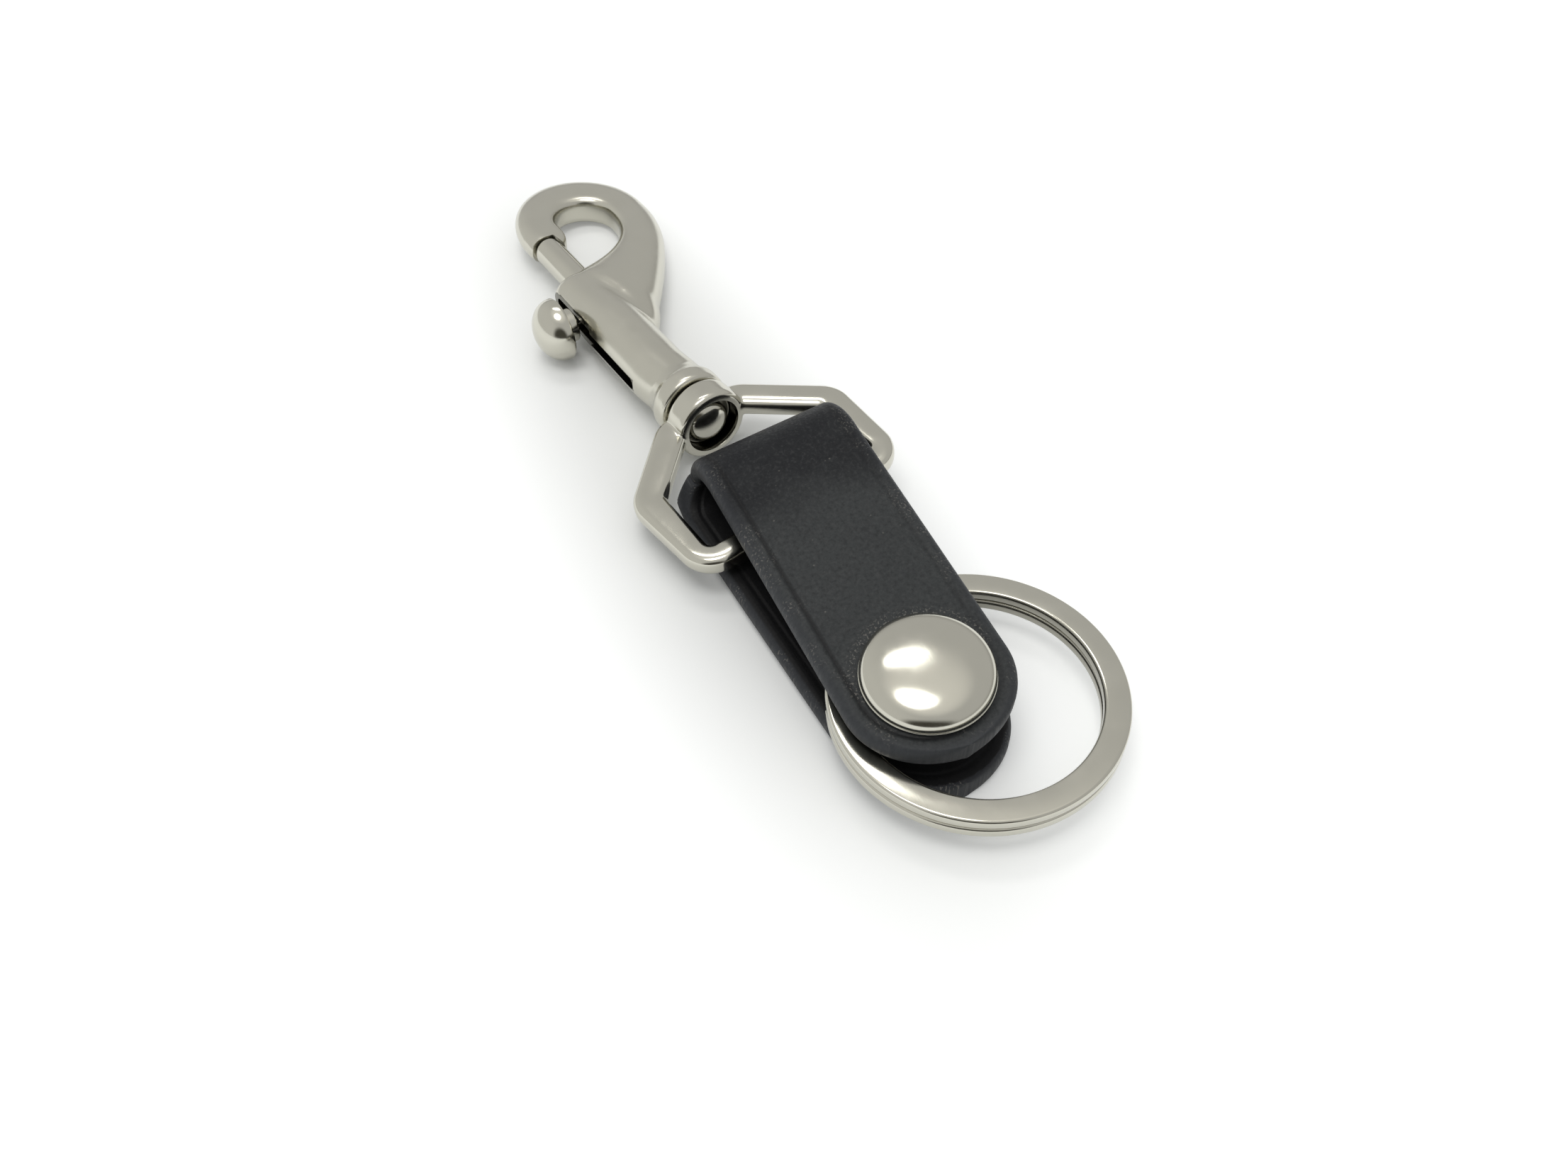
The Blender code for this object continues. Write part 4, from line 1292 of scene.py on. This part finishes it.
@dataclass
class SplitRing:
    """The flat-wire split ring, one wire in two turns."""

    centre: Vector = field(default_factory=lambda: Vector((21.6, 5.8, 0.0)))
    radius: float = 16.9
    band: float = 3.05
    wire: float = 1.4
    edge: float = 0.42
    split: float = 0.2
    bottom: float = 3.1
    start: float = math.radians(250.0)
    step: float = math.radians(22.0)
    end_gap: float = 0.03
    stations: int = 401
    # How much painted shade the ring's inner wall gets.
    inner_wall_shade: float = 0.6

    def build(self, nickel: bpy.types.Material) -> None:
        """Sweep the ring's wire with geometry nodes and hand it over."""
        shape = SweptShape("split_ring_wound", nickel, {
            "Turns Angle": 4 * math.pi - self.step - self.end_gap, "Start Angle": self.start,
            "Step Angle": self.step, "Middle Radius": self.radius - self.band / 2,
            "Climb": self.wire + self.split, "Band": self.band, "Wire": self.wire,
            "Edge": self.edge})
        nodes, given = shape.nodes, shape.given
        line = nodes.add("GeometryNodeMeshLine", {"Count": self.stations})
        index = nodes.add("GeometryNodeInputIndex").outputs[0]
        share = nodes.math("DIVIDE", index, float(self.stations - 1))
        angle = nodes.times(share, given["Turns Angle"])
        turn = nodes.math("ADD", angle, given["Start Angle"])
        late = nodes.math("SUBTRACT", 2 * math.pi, given["Step Angle"])
        climb = nodes.ramp(angle, late, 2 * math.pi)
        radius = given["Middle Radius"]
        place = nodes.add("ShaderNodeCombineXYZ", {
            "X": nodes.times(nodes.math("COSINE", turn), radius),
            "Y": nodes.times(nodes.math("SINE", turn), radius),
            "Z": nodes.times(climb, given["Climb"])})
        move = nodes.add("GeometryNodeSetPosition", {"Geometry": line.outputs[0],
                                                     "Position": place.outputs[0]})
        path = nodes.add("GeometryNodeMeshToCurve", {0: move.outputs[0]})
        upright = nodes.add("GeometryNodeSetCurveNormal", {0: path.outputs[0]}, mode="Z_UP")
        flat = nodes.add("GeometryNodeCurvePrimitiveQuadrilateral", {
            "Width": given["Band"], "Height": given["Wire"]})
        shape.sweep(upright, nodes.add("GeometryNodeFilletCurve", {
            "Curve": flat.outputs[0], "Radius": given["Edge"], "Count": 6}, mode="POLY"))
        ring = shape.make()
        # Painted shade: the ring's inner wall is marked to get part of the full shade.
        wall = self.radius - self.band + 0.25
        mark_hollow(ring, lambda place: self.inner_wall_shade * (math.hypot(place.x, place.y)
                                                               < wall))
        low = self.bottom + self.wire / 2
        set_down(ring, Matrix.Translation(self.centre + Vector((0.0, 0.0, low))))
        hand_over(ring, Body.RING, Slot.NICKEL, nickel, "split_ring")


# --------------------------------------------------------------------------- studio


@dataclass(frozen=True)
class Lamp:
    """A soft box between two places, facing the keychain."""

    name: str
    start: tuple[float, float, float]
    end: tuple[float, float, float]
    height: float
    radiance: float
    colour: tuple[float, float, float] = (1.0, 0.985, 0.95)

    def build(self) -> None:
        """Hang the lamp with its long side from start to end and its face to the origin."""
        start, end = Vector(self.start), Vector(self.end)
        middle, along = (start + end) / 2, (end - start).normalized()
        back = (middle - along * middle.dot(along)).normalized()
        data = bpy.data.lights.new(self.name, "AREA")
        data.shape = "ELLIPSE"
        data.size, data.size_y = (end - start).length, self.height
        data.energy = math.pi * self.radiance * data.size * data.size_y * math.pi / 4
        data.color = self.colour
        turn = Matrix((along, back.cross(along), back)).transposed()
        linked(self.name, data).matrix_world = Matrix.Translation(middle) @ turn.to_4x4()


@dataclass
class Studio:
    """The pale floor, the soft lamps, the world and the camera."""

    focal: float = 1850.0 / 2212.0 * 36.0
    eye: Vector = field(default_factory=lambda: Vector((89.2, -49.1, 124.3)))
    forward: Vector = field(default_factory=lambda: Vector((-0.583, 0.271, -0.766)))
    roll: float = math.radians(-0.53)
    floor_size: float = 1.6
    # The floor's glow makes a painted shadow round the keychain: weaker near it, full further out.
    painted_shadow_shift: Triple = (0.009, 0.006, 0.0)
    painted_shadow_stretch: Triple = (0.3, 1.0, 1.0)
    painted_shadow_reach: tuple[float, float] = (0.008, 0.032)
    painted_shadow_glow: tuple[float, float] = (0.03, 0.33)
    wall_low: Colour = (0.42, 0.415, 0.40)
    wall_high: Colour = (0.60, 0.60, 0.59)
    front: Colour = (0.72, 0.72, 0.70)
    zenith: Colour = (0.90, 0.89, 0.86)
    dark: Colour = (0.07, 0.066, 0.055)
    dark_way: Triple = (0.90, -0.42, 0.12)
    lamps: tuple[Lamp, ...] = (
        Lamp("window", (-0.388, -0.104, 0.573), (-0.269, 0.189, 0.618), 0.10, 5.0),
        Lamp("ceiling", (-0.040, -0.265, 0.63), (0.085, 0.065, 0.69), 0.28, 3.6),
    )

    def build_camera(self) -> None:
        """Set the camera at the photograph's view."""
        data = bpy.data.cameras.new("camera")
        data.sensor_width = 36.0
        data.lens = self.focal
        data.clip_start = 0.005
        data.clip_end = 20.0
        camera = linked("camera", data)
        ahead = self.forward.normalized()
        right = ahead.cross(Vector((0.0, 0.0, 1.0))).normalized()
        up = right.cross(ahead)
        cos, sin = math.cos(self.roll), math.sin(self.roll)
        turn = Matrix((cos * right + sin * up, cos * up - sin * right, -ahead)).transposed()
        camera.matrix_world = Matrix.Translation(self.eye * MM) @ turn.to_4x4()
        bpy.context.scene.camera = camera

    def build_floor(self) -> None:
        """Lay the pale floor."""
        size = self.floor_size
        mesh = bpy.data.meshes.new("floor")
        mesh.from_pydata([(-size, -size, 0.0), (size, -size, 0.0), (size, size, 0.0),
                          (-size, size, 0.0)], [], [(0, 1, 2, 3)])
        floor = linked("floor", mesh)
        material, nodes, surface = new_material("pale floor")
        rays = nodes.add("ShaderNodeLightPath").outputs
        seen = nodes.math("ADD", nodes.math("ADD", rays["Is Camera Ray"], rays["Is Glossy Ray"]),
                          rays["Is Transmission Ray"], True)
        # Painted shadow: the floor glows less near the keychain, about a centre set a little off
        # it.
        centred = nodes.add("ShaderNodeMapping", {
            0: nodes.add("ShaderNodeTexCoord").outputs["Object"],
            "Location": self.painted_shadow_shift, "Scale": self.painted_shadow_stretch})
        away = nodes.add("ShaderNodeVectorMath", {0: centred.outputs[0]}, operation="LENGTH")
        level = nodes.ramp(away.outputs["Value"], *self.painted_shadow_reach, *self.painted_shadow_glow)
        nodes.wire(surface, {
            "Base Color": (0.85, 0.865, 0.87, 1.0), "Roughness": 0.7, "Specular IOR Level": 0.2,
            "Emission Color": (0.97, 0.985, 1.0, 1.0), "Emission Strength": nodes.times(seen,
                                                                                       level)})
        mesh.materials.append(material)

    def build_world(self) -> None:
        """Light the room: pale above and in front, darker low down and behind the camera."""
        world = bpy.data.worlds.new("room")
        bpy.context.scene.world = world
        world.use_nodes = True
        nodes = Nodes(world.node_tree)
        way = nodes.add("ShaderNodeTexCoord").outputs["Generated"]
        parts = nodes.add("ShaderNodeSeparateXYZ", {0: way}).outputs
        wall = nodes.mix(nodes.ramp(parts["Z"], 0.0, 0.30), self.wall_low, self.wall_high)
        front = nodes.math("ADD", nodes.times(parts["X"], -0.25), nodes.times(parts["Y"], -0.95))
        side = nodes.mix(nodes.ramp(front, 0.05, 0.75), wall, self.front)
        colour = nodes.mix(nodes.ramp(parts["Z"], 0.78, 0.96), side, self.zenith)
        facing = nodes.add("ShaderNodeVectorMath", {0: way, 1: self.dark_way},
                           operation="DOT_PRODUCT")
        shade = nodes.ramp(facing.outputs["Value"], 0.78, 0.93)
        nodes.wire(world.node_tree.nodes["Background"], {
            "Color": nodes.mix(shade, colour, self.dark), "Strength": 1.0})

    def build(self) -> None:
        """Build the whole studio."""
        self.build_camera()
        self.build_floor()
        self.build_world()
        for lamp in self.lamps:
            lamp.build()
        bpy.context.scene.view_settings.view_transform = "Standard"


def main() -> None:
    """Build the finishes, the sub-assemblies and the studio in order."""
    handling, grain = handling_group(), grain_group()
    nickel = PlatedFinish("bright nickel", (0.60, 0.585, 0.515), (0.57, 0.555, 0.485),
                          0.13).build(handling)
    satin = PlatedFinish("cast nickel", (0.60, 0.585, 0.515), (0.57, 0.555, 0.485),
                         0.20).build(handling)
    plated = PlatedFinish("snap plating", (0.58, 0.57, 0.53), (0.50, 0.49, 0.45),
                          0.25).build(handling)
    steel = PlatedFinish("spring steel", (0.50, 0.50, 0.51), (0.42, 0.42, 0.43),
                         0.30).build(handling)
    leather = LeatherFinish().build(grain)
    Studio().build()
    strap = Strap()
    strap.build(leather)
    Snap(strap).build(nickel, plated)
    SplitRing().build(nickel)
    loop = Loop()
    loop.build(nickel)
    Hook(loop).build(satin, nickel, steel)


if __name__ == "__main__":
    main()
